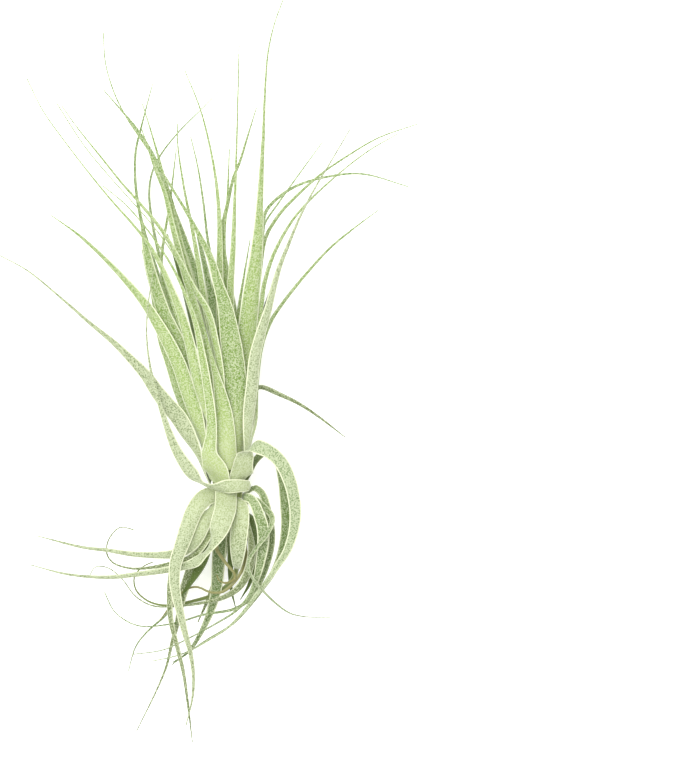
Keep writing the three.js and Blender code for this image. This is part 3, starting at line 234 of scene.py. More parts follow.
LOWER_LEAVES = (
    ("lower_leaf_01", SILVER,
      dict(root=(-5, -1.3), sheath=8.8, blade=8.8, halfway=0.27, facing=6,
        strap=(2.8, 0.72), twists=((72, 14, 29), (-76, 29.5, 41))),
      ((-0.6, -5, 37.8), (-1, -8.8, 40.8), (-2.4, -13.4, 43.2), (-4.4, -18.2, 43.8),
        (-6.6, -22.8, 42.4), (-8.6, -25.8, 40.5), (-11, -28.3, 38.6), (-13.6, -30.2, 36.8),
        (-17, -31.5, 35), (-24, -33, 32.4), (-36, -34.8, 29), (-48, -36, 26), (-64, -34.8, 22.5),
        (-79, -31, 19.5))),
    ("lower_leaf_02", SILVER,
      dict(root=(-40, -2.5), sheath=7.6, blade=6.8, halfway=0.3, facing=-37,
        strap=(4.4, 0.62)),
      ((-8.4, -3.6, 35.8), (-11.6, -6.6, 38.6), (-13.8, -10.4, 39.8), (-15.6, -15, 40.3),
        (-17.3, -20, 40.5), (-19.2, -25.4, 40.5), (-20.7, -30, 40.2), (-21.2, -34.6, 39.7),
        (-21, -39.8, 38.9), (-20, -45.6, 37.7), (-18.6, -51.5, 36.1), (-17.2, -57.5, 34),
        (-15, -65.5, 30.8), (-13.7, -75, 26.8), (-14.1, -84, 23), (-16.8, -95.5, 18.5))),
    ("lower_leaf_03", SILVER,
      dict(root=(-58, -7), sheath=4.8, blade=7.2, halfway=0.3, strap=(2.6, 0.7),
        twists=((-94, 0, 9),)),
      ((-6.8, -8.4, 34.2), (-8.8, -12.6, 36.7), (-10.8, -16.6, 37.2), (-13, -20.6, 36),
        (-16.4, -24.3, 34.2), (-20.5, -26.4, 32.4), (-27, -27.1, 30.4), (-38, -26.7, 28),
        (-48, -25.2, 26), (-58, -24, 24), (-76, -19.5, 21))),
    ("lower_leaf_04", OLD, dict(root=(-30, -9), sheath=3.5, blade=3, halfway=0.45),
      ((-5, -14, 33.5), (-8, -20, 33.5), (-11.5, -25.2, 32), (-15, -28, 30.4), (-18.5, -29.4, 29),
        (-24, -30.8, 27.6), (-30, -31.9, 26.2), (-36, -32.5, 25), (-41, -32, 24.2), (-46, -30, 23.5),
        (-48.3, -26.5, 23), (-48, -22, 22.7), (-46, -18.5, 22.5), (-43, -16, 22.3), (-37.5, -17, 22))),
    ("lower_leaf_05", SILVER, dict(root=(20, -6), sheath=6.6, blade=8, halfway=0.6),
      ((4.6, -7.6, 35.6), (5.1, -11.6, 37.4), (4.6, -16.6, 38.6), (4.1, -21.7, 38.6),
        (3.8, -26.6, 36.8), (3.6, -30.4, 33.6), (3.4, -32.2, 29.4), (3, -30.6, 25.4), (2.6, -26, 23.2),
        (2.2, -20, 22.2))),
    ("lower_leaf_06", OLD,
      dict(root=(67, -4), sheath=3.5, blade=5.2, halfway=0.38, twists=((-38, 0, 9),)),
      ((7, -3.8, 33.6), (9.2, -4.7, 35.6), (11, -7.2, 36.4), (12.4, -11, 36.5),
        (13.7, -15.2, 36.3), (14.2, -19.4, 35.8), (13.9, -24, 35), (13, -29.5, 33.8),
        (11.8, -35, 32.4), (8.8, -43, 29.4), (3, -49.5, 26.3), (-4, -54, 23.6), (-15, -60, 20.4),
        (-26, -65, 17.8), (-38, -66.8, 15.5))),
    ("lower_leaf_07", OLD, dict(root=(112, -4), sheath=3.4, blade=2.8, halfway=0.45, turn=50),
      ((8.6, -1.4, 25.3), (11, -0.4, 26), (13.5, -2.3, 26.6), (15, -5.6, 27), (16.2, -10, 27.3),
        (17.2, -14.5, 27.3), (17.8, -19, 27), (17.5, -24, 26.4), (16.2, -29.6, 25.3),
        (13.8, -36.2, 23.6), (9.5, -44, 21.5), (3, -48.5, 20.2), (-10, -51, 19.2),
        (-22, -54.5, 18.2), (-36, -55.3, 17), (-45, -50, 16), (-49.3, -42, 15))),
    ("lower_leaf_08", OLD, dict(root=(-118, -4), sheath=4, blade=3, halfway=0.7, turn=-112),
      ((-10, -6, 25), (-15, -12, 26.5), (-19, -20, 26.6), (-21.8, -30, 25.6), (-23.3, -42, 25.5),
        (-22.8, -53, 25.5), (-20.2, -64, 24.5), (-17.8, -74, 22), (-16.2, -85, 18.5), (-14.2, -102, 13))),
    ("lower_leaf_09", OLD, dict(root=(92, -6.8), sheath=2.8, blade=2.4, halfway=0.75, turn=20),
      ((10.5, -5, 29), (14.8, -8.2, 31.5), (17.9, -12.5, 35.8), (16.2, -18.3, 39.6), (12.2, -23.5, 39.8),
        (9.3, -27.6, 39.4), (8.2, -31.5, 38.8), (10, -36, 38), (14, -41, 36.8), (19, -46, 35.2),
        (24.5, -50, 33.5), (30, -51.5, 32), (41, -52, 29.5))),
    ("lower_leaf_10", DRY, dict(root=(30, -10), sheath=2.6, blade=1.8, halfway=0.7),
      ((5, -16, 31), (7, -24, 29.4), (6.8, -30.5, 27.6), (3, -37.5, 27.2), (-2, -41.8, 25.8),
        (-7, -42, 24.6), (-12, -39.9, 23.6), (-16, -40.6, 22.8), (-21, -45, 21.9), (-27, -53, 20.5))),
    ("lower_leaf_11", OLD, dict(root=(-160, -6), sheath=6, blade=6, halfway=0.65),
      ((-2.8, -13, 18.5), (-3.4, -22, 16.5), (-4, -31, 15.5), (-4.6, -39, 15), (-6.4, -47.5, 14.5),
        (-10, -56.5, 13.7), (-16, -66, 12.7), (-22, -70, 12))),
    ("lower_leaf_12", OLD, dict(root=(75, -9), sheath=4, blade=4, halfway=0.4, turn=75),
      ((8, -14, 30.5), (9.4, -20, 30.8), (9.6, -27, 30), (8, -34, 28), (4.5, -40, 25), (-1, -43.8, 22.5),
        (-8, -45.8, 21), (-20, -47.5, 19), (-30, -47.4, 17.6), (-37, -43.5, 16.7), (-42, -37, 16),
        (-48, -32.2, 15.3), (-53, -32, 14.8), (-55.5, -36, 14.5))),
    ("lower_leaf_13", OLD, dict(root=(-112, -8.5), sheath=4.5, blade=5, halfway=0.5, turn=-75),
      ((-8.6, -15, 22), (-12, -25, 18.5), (-15.4, -34, 17), (-18.4, -44, 16), (-20.5, -55, 14.5),
        (-22.6, -63, 14), (-24.6, -71.5, 13.3), (-28, -80, 12.3), (-36.5, -97.5, 9.8))),
    ("lower_leaf_14", DRY, dict(root=(160, -9), sheath=3, blade=2.2, halfway=0.55),
      ((3, -17, 17), (3.8, -26, 13.5), (2.5, -36, 11.8), (-4, -42.2, 11), (-14, -45.6, 10.5),
        (-25, -47.3, 10), (-32, -45.5, 9.7), (-36.8, -41, 9.5), (-37.3, -35.5, 9.3),
        (-33.5, -31.5, 9), (-30, -30, 8.8))),
    ("lower_leaf_15", OLD, dict(root=(-150, -2.5), sheath=4, blade=3, halfway=0.6),
      ((-7, -10, 15), (-11.5, -20, 11.5), (-15.5, -31, 9.5), (-19, -41, 8.5), (-24, -50, 7.8),
        (-33, -58.5, 7), (-37, -64, 6.5), (-39.8, -73.5, 6))),
    ("lower_leaf_16", OLD, dict(root=(150, -3), sheath=5, blade=6, halfway=0.62),
      ((5, -10, 14.5), (3, -19, 10.5), (1.6, -27, 8), (1, -34, 6.5), (1.4, -41, 5.5), (3, -48, 5))),
    ("lower_leaf_17", OLD,
      dict(root=(122, -8), sheath=3.4, blade=7, halfway=0.62, twists=((105, 0, 7),)),
      ((8.6, -11.5, 24.6), (9.6, -16, 23.8), (10.4, -22, 22), (10.4, -30, 20.6), (9, -38, 19),
        (5, -45, 17.6))),
    ("lower_leaf_18", OLD,
      dict(root=(-78, -10.2), sheath=3.2, blade=7.4, halfway=0.65, twists=((-80, 0, 9),)),
      ((-7.8, -14, 30.4), (-8.8, -20, 30), (-9.8, -26, 29), (-11.6, -32, 27.4), (-15.5, -39, 25.5),
        (-19, -44, 23.5))),
    ("lower_leaf_19", DRY, dict(root=(0, -12.3), sheath=2, blade=1.4, halfway=0.8),
      ((-2.6, -18, 33.4), (-4.6, -24, 32.4), (-2.4, -28, 31), (0, -31.2, 30), (2.4, -34, 29.4),
        (2.9, -36, 29.2), (1.2, -37.6, 29), (-1.4, -38.2, 28.8), (-3.6, -37, 28.6),
        (-4.4, -35, 28.4))),
)


def length(name, description, default, least):
    """A length property, in metres."""
    return bpy.props.FloatProperty(
        name=name, description=description, default=default, min=least, unit="LENGTH",
    )


class PlantSizes(bpy.types.PropertyGroup):
    """Sizes of the blades and of the scurf on them."""

    tip_width: length("Tip width", "Width of a blade's thread-like end", 0.00045, 0.0001)
    root_thickness: length("Root thickness", "Thickness of a leaf's middle at its root", 0.0011, 0.0001)
    tip_thickness: length("Tip thickness", "Thickness of a leaf's middle at its end", 0.0003, 0.0001)
    sheath_length: length("Sheath length", "The root's own width dies away over this length", 0.013, 0.001)
    turn_length: length("Turn length", "A leaf has turned and opened out by here", 0.032, 0.001)
    channel: bpy.props.FloatProperty(
        name="Channel", description="Half the angle through which a blade bends from margin to margin",
        default=0.36, min=0, max=1.4, subtype="ANGLE",
    )
    spacing: length("Section spacing", "Distance between the sections of a blade", 0.0016, 0.0004)
    wave: bpy.props.FloatProperty(
        name="Margin wave", description="How far the margins wander, as a share of the width",
        default=0.05, min=0, max=0.5, subtype="FACTOR",
    )
    flake_size: length("Flake size", "Radius of one flake of scurf", 0.00022, 0.00005)
    flakes: bpy.props.FloatProperty(
        name="Flakes", description="Flakes of scurf on each square metre of leaf",
        default=1.1e6, min=0,
    )


def srgb(text):
    """The linear colour of a web colour such as b4cb84."""
    parts = [int(text[i:i + 2], 16) / 255 for i in (0, 2, 4)]
    return tuple(((part + 0.055) / 1.055) ** 2.4 if part > 0.04045 else part / 12.92 for part in parts)


def colour(name, description, text):
    """A colour property, given as a web colour."""
    return bpy.props.FloatVectorProperty(
        name=name, description=description, default=srgb(text), size=3, min=0, max=1, subtype="COLOR",
    )


class PlantColours(bpy.types.PropertyGroup):
    """Colours of the leaves and the stem. Some paint light and shade: the deep shade inside the plant and
    inside a leaf's channel, a highlight on the margins, and shade on the stem.
    """

    fresh_light: colour("Fresh, light", "Green of a fresh leaf where its scurf is thick", "8ea556")
    fresh_deep: colour("Fresh, deep", "Green of a fresh leaf where its scurf is thin", "5e7c26")
    silver_light: colour("Silver, light", "Silvery leaf where its scurf is thick", "909c76")
    silver_deep: colour("Silver, deep", "Silvery leaf where its scurf is thin", "5a6a3a")
    old_light: colour("Old, light", "Ageing leaf where its scurf is thick", "7a8658")
    old_deep: colour("Old, deep", "Ageing leaf where its scurf is thin", "4c5c24")
    dry_light: colour("Dry, light", "Dead leaf where its scurf is thick", "9a9e70")
    dry_deep: colour("Dry, deep", "Dead leaf where its scurf is thin", "74703c")
    # Painted shade: this dark green stands for the deep shade on the leaves inside the plant
    painted_shade: colour("Hidden", "Dark green of the leaves deep inside the plant", "465a16")
    # Painted shade: the deeper green inside a leaf's channel stands for the shade there
    inner: colour("Inner side", "Green inside the channel of a leaf, where there is little scurf", "58783a")
    sheath: colour("Sheath", "Pale colour of a leaf's base", "aebb80")
    # Partly the leaf's pale edge and partly a painted highlight where the edge catches the light
    margin: colour("Margin", "Pale line along a leaf's margins", "d8dcbc")
    scurf: colour("Scurf", "The silvery flakes", "bcc4a2")
    # Darkened to paint the shade where the stem shows in the gaps at the neck
    stem: colour("Stem", "The short stem under the leaf bases", "5c6428")


class StageSettings(bpy.types.PropertyGroup):
    """Floor, lights and camera."""

    centre: bpy.props.FloatVectorProperty(
        name="View centre", description="Place on the floor in the middle of the view",
        default=(0.0446, 0.042), size=2, subtype="XYZ", unit="LENGTH",
    )
    camera_height: length("Camera height", "Height of the camera, behind a long lens", 12.0, 0.3)
    view_height: length("View height", "Length of floor from the view's top to its bottom", 0.3056, 0.05)
    floor_size: length("Floor size", "Side of the floor", 3.0, 0.5)
    floor_colour: colour("Floor", "The pale surface that the plant lies on", "f6f6f4")
    floor_glow: bpy.props.FloatProperty(
        name="Floor glow", description="Light that the floor gives of itself, as a light table does",
        default=0.3, min=0,
    )
    sky: bpy.props.FloatProperty(
        name="Sky", description="Strength of the even light from all round", default=1.1, min=0,
    )
    lamp: bpy.props.FloatProperty(
        name="Lamp", description="Power of the soft lamp over the plant", default=22.0, min=0,
        unit="POWER",
    )
    lamp_size: length("Lamp size", "Side of the soft lamp", 0.9, 0.05)


class Field:
    """A value that a node puts out, so that sums can be written with it."""

    def __init__(self, graph, socket):
        self.graph = graph
        self.socket = socket

    def __add__(self, other):
        return self.graph.math("ADD", self, other)

    def __sub__(self, other):
        return self.graph.math("SUBTRACT", self, other)

    def __rsub__(self, other):
        return self.graph.math("SUBTRACT", other, self)

    def __mul__(self, other):
        return self.graph.math("MULTIPLY", self, other)

    def __truediv__(self, other):
        return self.graph.math("DIVIDE", self, other)

    def __rtruediv__(self, other):
        return self.graph.math("DIVIDE", other, self)

    def __pow__(self, power):
        return self.graph.math("POWER", self, power)


class Graph:
    """Adds nodes to a node tree and links them."""

    def __init__(self, tree):
        self.tree = tree

    def add(self, kind, *values, **settings):
        """A new node with its settings, its open inputs fed in order."""
        node = self.tree.nodes.new(kind)
        for name, value in settings.items():
            setattr(node, name, value)
        sockets = [socket for socket in node.inputs if socket.enabled]
        for socket, value in zip(sockets, values):
            self.feed(socket, value)
        return node

    def feed(self, socket, value):
        """Links a socket to a node or a field, or sets its plain value."""
        if isinstance(value, Field):
            value = value.socket
        if isinstance(value, bpy.types.Node):
            value = self.first(value).socket
        if isinstance(value, bpy.types.NodeSocket):
            self.tree.links.new(value, socket)
        else:
            socket.default_value = value

    def first(self, node):
        """The first open output of a node."""
        return Field(self, next(socket for socket in node.outputs if socket.enabled))

    def field(self, kind, *values, **settings):
        return self.first(self.add(kind, *values, **settings))

    def math(self, operation, *values):
        return self.field("ShaderNodeMath", *values, operation=operation)

    def vector(self, operation, *values):
        return self.field("ShaderNodeVectorMath", *values, operation=operation)

    def scaled(self, direction, length):
        """A vector made longer or shorter."""
        node = self.add("ShaderNodeVectorMath", direction, operation="SCALE")
        self.feed(node.inputs["Scale"], length)
        return self.first(node)

    def point(self, x=0.0, y=0.0, z=0.0):
        return self.field("ShaderNodeCombineXYZ", x, y, z)

    def smooth(self, value, low, high):
        """From 0 to 1 as the value goes from low to high, eased at both ends."""
        return self.field("ShaderNodeMapRange", value, low, high, interpolation_type="SMOOTHSTEP")

    def mix(self, share, first, second):
        """The first colour where share is 0, the second where it is 1."""
        return self.field("ShaderNodeMix", share, first, second, data_type="RGBA")

    def interface(self, sockets, direction):
        """Makes a group's sockets from (name, kind) pairs, or (name, kind, default)."""
        for name, kind, *default in sockets:
            socket = self.tree.interface.new_socket(
                name=name, in_out=direction, socket_type="NodeSocket" + kind,
            )
            if default:
                socket.default_value = default[0]


def group_graph(name, kind, inputs, outputs):
    """A new node group with named sockets: its graph, its inputs by name and its output node."""
    graph = Graph(bpy.data.node_groups.new(name, kind))
    graph.interface(inputs, "INPUT")
    graph.interface(outputs, "OUTPUT")
    given = graph.add("NodeGroupInput").outputs
    wanted = graph.add("NodeGroupOutput").inputs
    return graph, {socket.name: Field(graph, socket) for socket in given if socket.name}, wanted


# Blades

def named(graph, name, kind="FLOAT"):
    """A value stored on the geometry under a name."""
    return graph.field("GeometryNodeInputNamedAttribute", name, data_type=kind)


def stored(graph, geometry, name, value, kind="FLOAT"):
    """The geometry with a value stored on its points under a name."""
    return graph.field(
        "GeometryNodeStoreNamedAttribute", geometry, True, name, value, data_type=kind, domain="POINT",
    )


SECTION_POINTS = 24
TAPER_POWER = 5  # how sharply a blade narrows about its halfway place
WAVE_LENGTH = 0.012
NARROWED, STILL_WHOLE = 1.02, 0.85  # shares of a blade's length between which its end narrows away
SIDE_APART = 3  # keeps the waves of the two margins from matching
ABOVE_SURFACE = (-9.0, -9.0, 0.0)  # no blade goes below z = 0, while X and Y are free
FLAT_CURL = 0.04  # the channel of a leaf that lies flat, which can't be quite nothing
PASSING = ("middle", "forward", "keelward")  # stored on the way, and not kept on a blade


def blade_tree():
    """A blade along a midline: a thin lens of a section that is bent into a channel, wide at the
    sheath and narrowing to a thread, with margins that wander a little."""
    graph, given, wanted = group_graph(
        "Blade", "GeometryNodeTree",
        (
            ("Midline", "Geometry"),
            ("Sheath Width", "Float"),
            ("Blade Width", "Float"),
            ("Tip Width", "Float"),
            ("Halfway", "Float"),
            ("Strap Width", "Float"),
            ("Strap Halfway", "Float"),
            ("Sheath Length", "Float"),
            ("Opening Length", "Float"),
            ("Root Thickness", "Float"),
            ("Tip Thickness", "Float"),
            ("Root Curl", "Float"),
            ("Blade Curl", "Float"),
            ("Margin Wave", "Float"),
            ("Seed", "Float"),
            ("Tone", "Float"),
            ("Finish", "Material"),
        ),
        (("Blade", "Geometry"),),
    )
    line = graph.field("GeometryNodeMeshToCurve", given["Midline"])
    spline = graph.add("GeometryNodeSplineParameter")
    share = Field(graph, spline.outputs["Factor"])
    distance = Field(graph, spline.outputs["Length"])
    taper = 1 / ((share / given["Halfway"]) ** TAPER_POWER + 1)
    late_taper = 1 / ((share / given["Strap Halfway"]) ** TAPER_POWER + 1)
    flare = graph.math("EXPONENT", ((distance / given["Sheath Length"]) ** 2) * -1)
    blade, strap, tip = given["Blade Width"], given["Strap Width"], given["Tip Width"]
    width = tip + (strap - tip) * late_taper + (blade - strap) * taper
    width = width + (given["Sheath Width"] - blade) * flare
    width = tip + (width - tip) * graph.smooth(share, NARROWED, STILL_WHOLE)
    line = stored(graph, line, "share", share)
    line = stored(graph, line, "distance", distance)
    line = stored(graph, line, "width", width)
    line = stored(graph, line, "middle", graph.field("GeometryNodeInputPosition"), "FLOAT_VECTOR")
    line = stored(graph, line, "forward", graph.field("GeometryNodeInputTangent"), "FLOAT_VECTOR")

    ring = graph.field("GeometryNodeCurvePrimitiveCircle", SECTION_POINTS, 1.0, mode="RADIUS")
    parts = graph.add("ShaderNodeSeparateXYZ", graph.field("GeometryNodeInputPosition"))
    ring = stored(graph, ring, "across", Field(graph, parts.outputs["X"]))
    ring = stored(graph, ring, "side", Field(graph, parts.outputs["Y"]))

    sweep = graph.add("GeometryNodeCurveToMesh", line, ring)
    graph.feed(sweep.inputs["Fill Caps"], True)
    placed = graph.field("GeometryNodeSetPosition", sweep, True, section_place(graph, given))
    placed = stored(graph, placed, "tone", given["Tone"])
    for name in PASSING:
        placed = graph.field("GeometryNodeRemoveAttribute", placed, name)
    placed = graph.field("GeometryNodeSetShadeSmooth", placed)
    graph.feed(wanted[0], graph.field("GeometryNodeSetMaterial", placed, True, given["Finish"]))
    return graph.tree


def section_place(graph, given):
    """Where a point of a blade's section lies, from what is stored on it."""
    share, distance, width = (named(graph, name) for name in ("share", "distance", "width"))
    across, side = named(graph, "across"), named(graph, "side")
    middle, forward, keelward = (named(graph, name, "FLOAT_VECTOR") for name in PASSING)
    opened = graph.smooth(distance, 0.0, given["Opening Length"])
    curl = given["Root Curl"] + (given["Blade Curl"] - given["Root Curl"]) * opened
    left_or_right = graph.math("SIGN", across)
    wander = graph.field(
        "ShaderNodeTexNoise", graph.point(distance / WAVE_LENGTH, left_or_right * SIDE_APART, given["Seed"]),
        1.0, 2.0,
    )
    half = width / 2 * ((wander - 0.5) * 2 * given["Margin Wave"] + 1)
    angle = curl * across
    out = half * graph.math("SINE", angle) / graph.math("SINE", curl)
    drop = half * (1 - graph.math("COSINE", angle)) / graph.math("SINE", curl)
    thickness = given["Root Thickness"] + (given["Tip Thickness"] - given["Root Thickness"]) * share
    lift = side * graph.math("ABSOLUTE", side) * thickness / 2
    sideways = graph.vector("NORMALIZE", graph.vector("CROSS_PRODUCT", forward, keelward))
    place = graph.vector("ADD", middle, graph.scaled(sideways, out + lift * graph.math("SINE", angle)))
    upward = lift * graph.math("COSINE", angle) - drop
    place = graph.vector("ADD", place, graph.scaled(keelward, upward))
    return graph.vector("MAXIMUM", place, ABOVE_SURFACE)


def stem_radius(along):
    """Radius of the stem, in millimetres, at a distance along it from the neck."""
    for (last_radius, last_place), (radius, place) in zip(STEM_PROFILE, STEM_PROFILE[1:]):
        if along <= place:
            return last_radius + (radius - last_radius) * (along - last_place) / (place - last_place)
    return 0


def outward(degrees):
    """The direction straight out from the stem at an angle from straight up."""
    angle = math.radians(degrees)
    return Vector((math.sin(angle), 0, math.cos(angle)))


def root_point(root):
    """The middle of a leaf's root, in millimetres."""
    degrees, along = root
    axis = Vector((0, along, AXIS_HEIGHT + along * math.tan(AXIS_TILT)))
    return axis + outward(degrees) * (stem_radius(along) + SEAT)


def span_point(before, start, end, after, t):
    """A point of a centripetal Catmull-Rom span between start and end, and its direction."""
    steps = [math.sqrt((b - a).length) for a, b in ((before, start), (start, end), (end, after))]
    first, middle, last = steps
    leave = ((start - before) / first - (end - before) / (first + middle) + (end - start) / middle) * middle
    reach = ((end - start) / middle - (after - start) / (middle + last) + (after - end) / last) * middle
    square = (end - start) * 3 - leave * 2 - reach
    cube = (start - end) * 2 + leave + reach
    place = start + leave * t + square * t ** 2 + cube * t ** 3
    direction = leave + square * (2 * t) + cube * (3 * t ** 2)
    return place, direction.normalized()


def midline_stations(points, spacing):
    """Places and directions along a smooth line through the points."""
    chain = [points[0] * 2 - points[1], *points, points[-1] * 2 - points[-2]]
    places = [span_point(*chain[:4], 0.0)]
    for i in range(len(points) - 1):
        span = chain[i:i + 4]
        steps = max(2, round((span[2] - span[1]).length / spacing))
        places.extend(span_point(*span, step / steps) for step in range(1, steps + 1))
    return places


def smoothstep(share):
    share = min(max(share, 0.0), 1.0)
    return share * share * (3 - 2 * share)


TWIST_DETAIL = 2.5  # the sections of a sharply twisted blade lie this many times closer


def midline_mesh(name, shape, path, sizes):
    """A line of edges along the middle of a leaf, with the way that its back faces on each point."""
    points = [root_point(shape["root"]) * MM, *(Vector(point) * MM for point in path)]
    twists = ((shape.get("turn", 0), 0, sizes.turn_length / MM), *shape.get("twists", ()))
    finer = TWIST_DETAIL if "twists" in shape else 1
    stations = midline_stations(points, sizes.spacing / finer)
    normal = outward(shape.get("facing", shape["root"][0]))
    distance = 0.0
    backs = []
    for i, (place, forward) in enumerate(stations):
        if i > 0:
            distance += (place - stations[i - 1][0]).length
        normal = (normal - forward * normal.dot(forward)).normalized()
        turned = sum(
            degrees * smoothstep((distance / MM - start) / (end - start)) for degrees, start, end in twists
        )
        backs.extend(Matrix.Rotation(math.radians(turned), 3, forward) @ normal)
    mesh = bpy.data.meshes.new(name)
    mesh.from_pydata([place for place, _ in stations], [(i, i + 1) for i in range(len(stations) - 1)], [])
    mesh.attributes.new("keelward", "FLOAT_VECTOR", "POINT").data.foreach_set("vector", backs)
    return mesh


def baked(piece, tree, values):
    """Runs a tree on a piece with its inputs by name, and keeps the result as a plain mesh."""
    modifier = piece.modifiers.new(tree.name, "NODES")
    modifier.node_group = tree
    for item in tree.interface.items_tree:
        if item.in_out == "INPUT" and item.name in values:
            modifier[item.identifier] = values[item.name]
    graph = bpy.context.evaluated_depsgraph_get()
    mesh = bpy.data.meshes.new_from_object(
        piece.evaluated_get(graph), preserve_all_data_layers=True, depsgraph=graph,
    )
    piece.modifiers.clear()
    first = piece.data
    piece.data = mesh
    bpy.data.meshes.remove(first)
    mesh.name = piece.name


ROOT_CURL = 0.55  # a sheath is this much flatter than the ring it would make round the stem
WAVE_SEEDS = 90  # the margins' waves start anywhere up to here

# Leaves whose highest point is this high, in millimetres, are the palest, and those that stay
# this low the deepest in colour: painted shade, as the low leaves lie under the others
UNSHADED_HEIGHT = 56
SHADED_HEIGHT = 20
SHADE_BY_HEIGHT = 0.8
TONE_BY_CHANCE = 0.2

# Sheaths that lie over each other at the neck are a little wider than the frame's
SHEATHS = {"upper_leaf_01": 12.5, "arching_leaf_1": 9.6}

# Leaves that are paler or deeper than where they lie would make them. This is partly painted light and
# shade: a tone of
# 1 and more paints the deep shade on the leaves inside the plant
TONES_AND_SHADE = {
    "upper_leaf_04": 1.0, "upper_leaf_05": 0.3, "upper_leaf_06": 0.3, "upper_leaf_25": 1.0,
    "upper_leaf_27": 0.85, "upper_leaf_28": 0.1, "upper_leaf_30": 0.7, "upper_leaf_33": 1.6,
    "collar_leaf": 0.3, "arching_leaf_1": 0.4, "arching_leaf_2": 1.25, "lower_leaf_01": 0.55,
    "lower_leaf_02": 0.3, "lower_leaf_03": 0.1, "lower_leaf_05": 0.9, "lower_leaf_06": 0.35,
    "lower_leaf_07": 0.5, "lower_leaf_16": 1.7, "lower_leaf_17": 1.8, "lower_leaf_18": 1.8,
}


def sheath_curl(shape):
    """How far a sheath bends so that it lies round the stem."""
    radius = stem_radius(shape["root"][1]) + SEAT
    return ROOT_CURL * math.asin(min(1, shape["sheath"] / 2 / radius))


def grow_leaves(context, rows, group):
    """A blade for each row, in a collection of their own, standing for the frame's leaf."""
    sizes = context.scene.plant_sizes
    tree = bpy.data.node_groups.get("Blade") or blade_tree()
    draw = random.Random(f"{group} {SEED}")
    collection = bpy.data.collections.new(group)
    context.scene.collection.children.link(collection)
    for name, finish, shape, path in rows:
        blade = bpy.data.objects.new(
            name.replace("leaf", "blade"), midline_mesh(name, shape, path, sizes),
        )
        collection.objects.link(blade)
        flat = shape.get("channel") == 0
        strap_width, strap_halfway = shape.get("strap", (sizes.tip_width / MM, 1))
        # Painted shade: a leaf that stays low lies under the others and gets a deeper tone
        shade_by_lowness = 1 - (max(z for _, _, z in path) - SHADED_HEIGHT) / (UNSHADED_HEIGHT - SHADED_HEIGHT)
        shade_by_height = SHADE_BY_HEIGHT * min(max(shade_by_lowness, 0), 1)
        baked(blade, tree, {
            "Sheath Width": SHEATHS.get(name, shape["sheath"]) * MM,
            "Blade Width": shape["blade"] * MM,
            "Tip Width": sizes.tip_width,
            "Halfway": float(shape["halfway"]),
            "Strap Width": strap_width * MM,
            "Strap Halfway": float(strap_halfway),
            "Sheath Length": sizes.sheath_length,
            "Opening Length": sizes.turn_length,
            "Root Thickness": sizes.root_thickness,
            "Tip Thickness": sizes.tip_thickness,
            "Root Curl": sheath_curl(shape),
            "Blade Curl": FLAT_CURL if flat else sizes.channel,
            "Margin Wave": sizes.wave,
            "Seed": draw.uniform(0, WAVE_SEEDS),
            "Tone": TONES_AND_SHADE.get(name, shade_by_height + TONE_BY_CHANCE * draw.random()),
            "Finish": finish_for(context, finish),
        })
        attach(blade, BODY)
        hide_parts(name)


# Stem

STEM_SIDES = 40
STEM_STEP = 0.8
SCAR_ROWS = 9
SCAR_TURNS = 5
SCAR_DEPTH = 0.35


def stem_mesh():
    """A turned stem with closed ends, its skin raised between the scars of its leaves."""
    first, last = STEM_PROFILE[0][1], STEM_PROFILE[-1][1]
    rings = round((last - first) / STEM_STEP)
    tilt = Matrix.Translation((0, 0, AXIS_HEIGHT * MM)) @ Matrix.Rotation(AXIS_TILT, 4, "X")
    points = [tilt @ Vector((0, first * MM, 0))]
    for ring in range(1, rings):
        along = first + (last - first) * ring / rings
        for side in range(STEM_SIDES):
            angle = 2 * math.pi * side / STEM_SIDES
            rise = 2 * math.pi * SCAR_ROWS * ring / rings
            scar = math.sin(rise + SCAR_TURNS * angle) * math.sin(rise - SCAR_TURNS * angle)
            radius = (stem_radius(along) - SCAR_DEPTH * max(scar, 0)) * MM
            points.append(tilt @ Vector((radius * math.sin(angle), along * MM, radius * math.cos(angle))))
    points.append(tilt @ Vector((0, last * MM, 0)))
    faces = []
    end = len(points) - 1
    for side in range(STEM_SIDES):
        after = (side + 1) % STEM_SIDES
        faces.append((0, 1 + side, 1 + after))
        for ring in range(rings - 2):
            low, high = 1 + ring * STEM_SIDES, 1 + (ring + 1) * STEM_SIDES
            faces.append((low + side, high + side, high + after, low + after))
        low = 1 + (rings - 2) * STEM_SIDES
        faces.append((low + side, end, low + after))
    mesh = bpy.data.meshes.new("short_stem")
    mesh.from_pydata(points, [], faces)
    mesh.shade_smooth()
    return mesh


# Scurf

BARE_WIDTH = 0.0006  # a blade this narrow carries no flakes
COVERED_WIDTH = 0.003  # and one this wide carries them all
SMALLEST_FLAKE, LARGEST_FLAKE = 0.6, 1.3  # of the flake size
FLAKE_SIDES = 3
FLAKE_HEIGHT = 0.5
FLAKE_NARROWNESS = 0.5  # of a flake's one width to its other


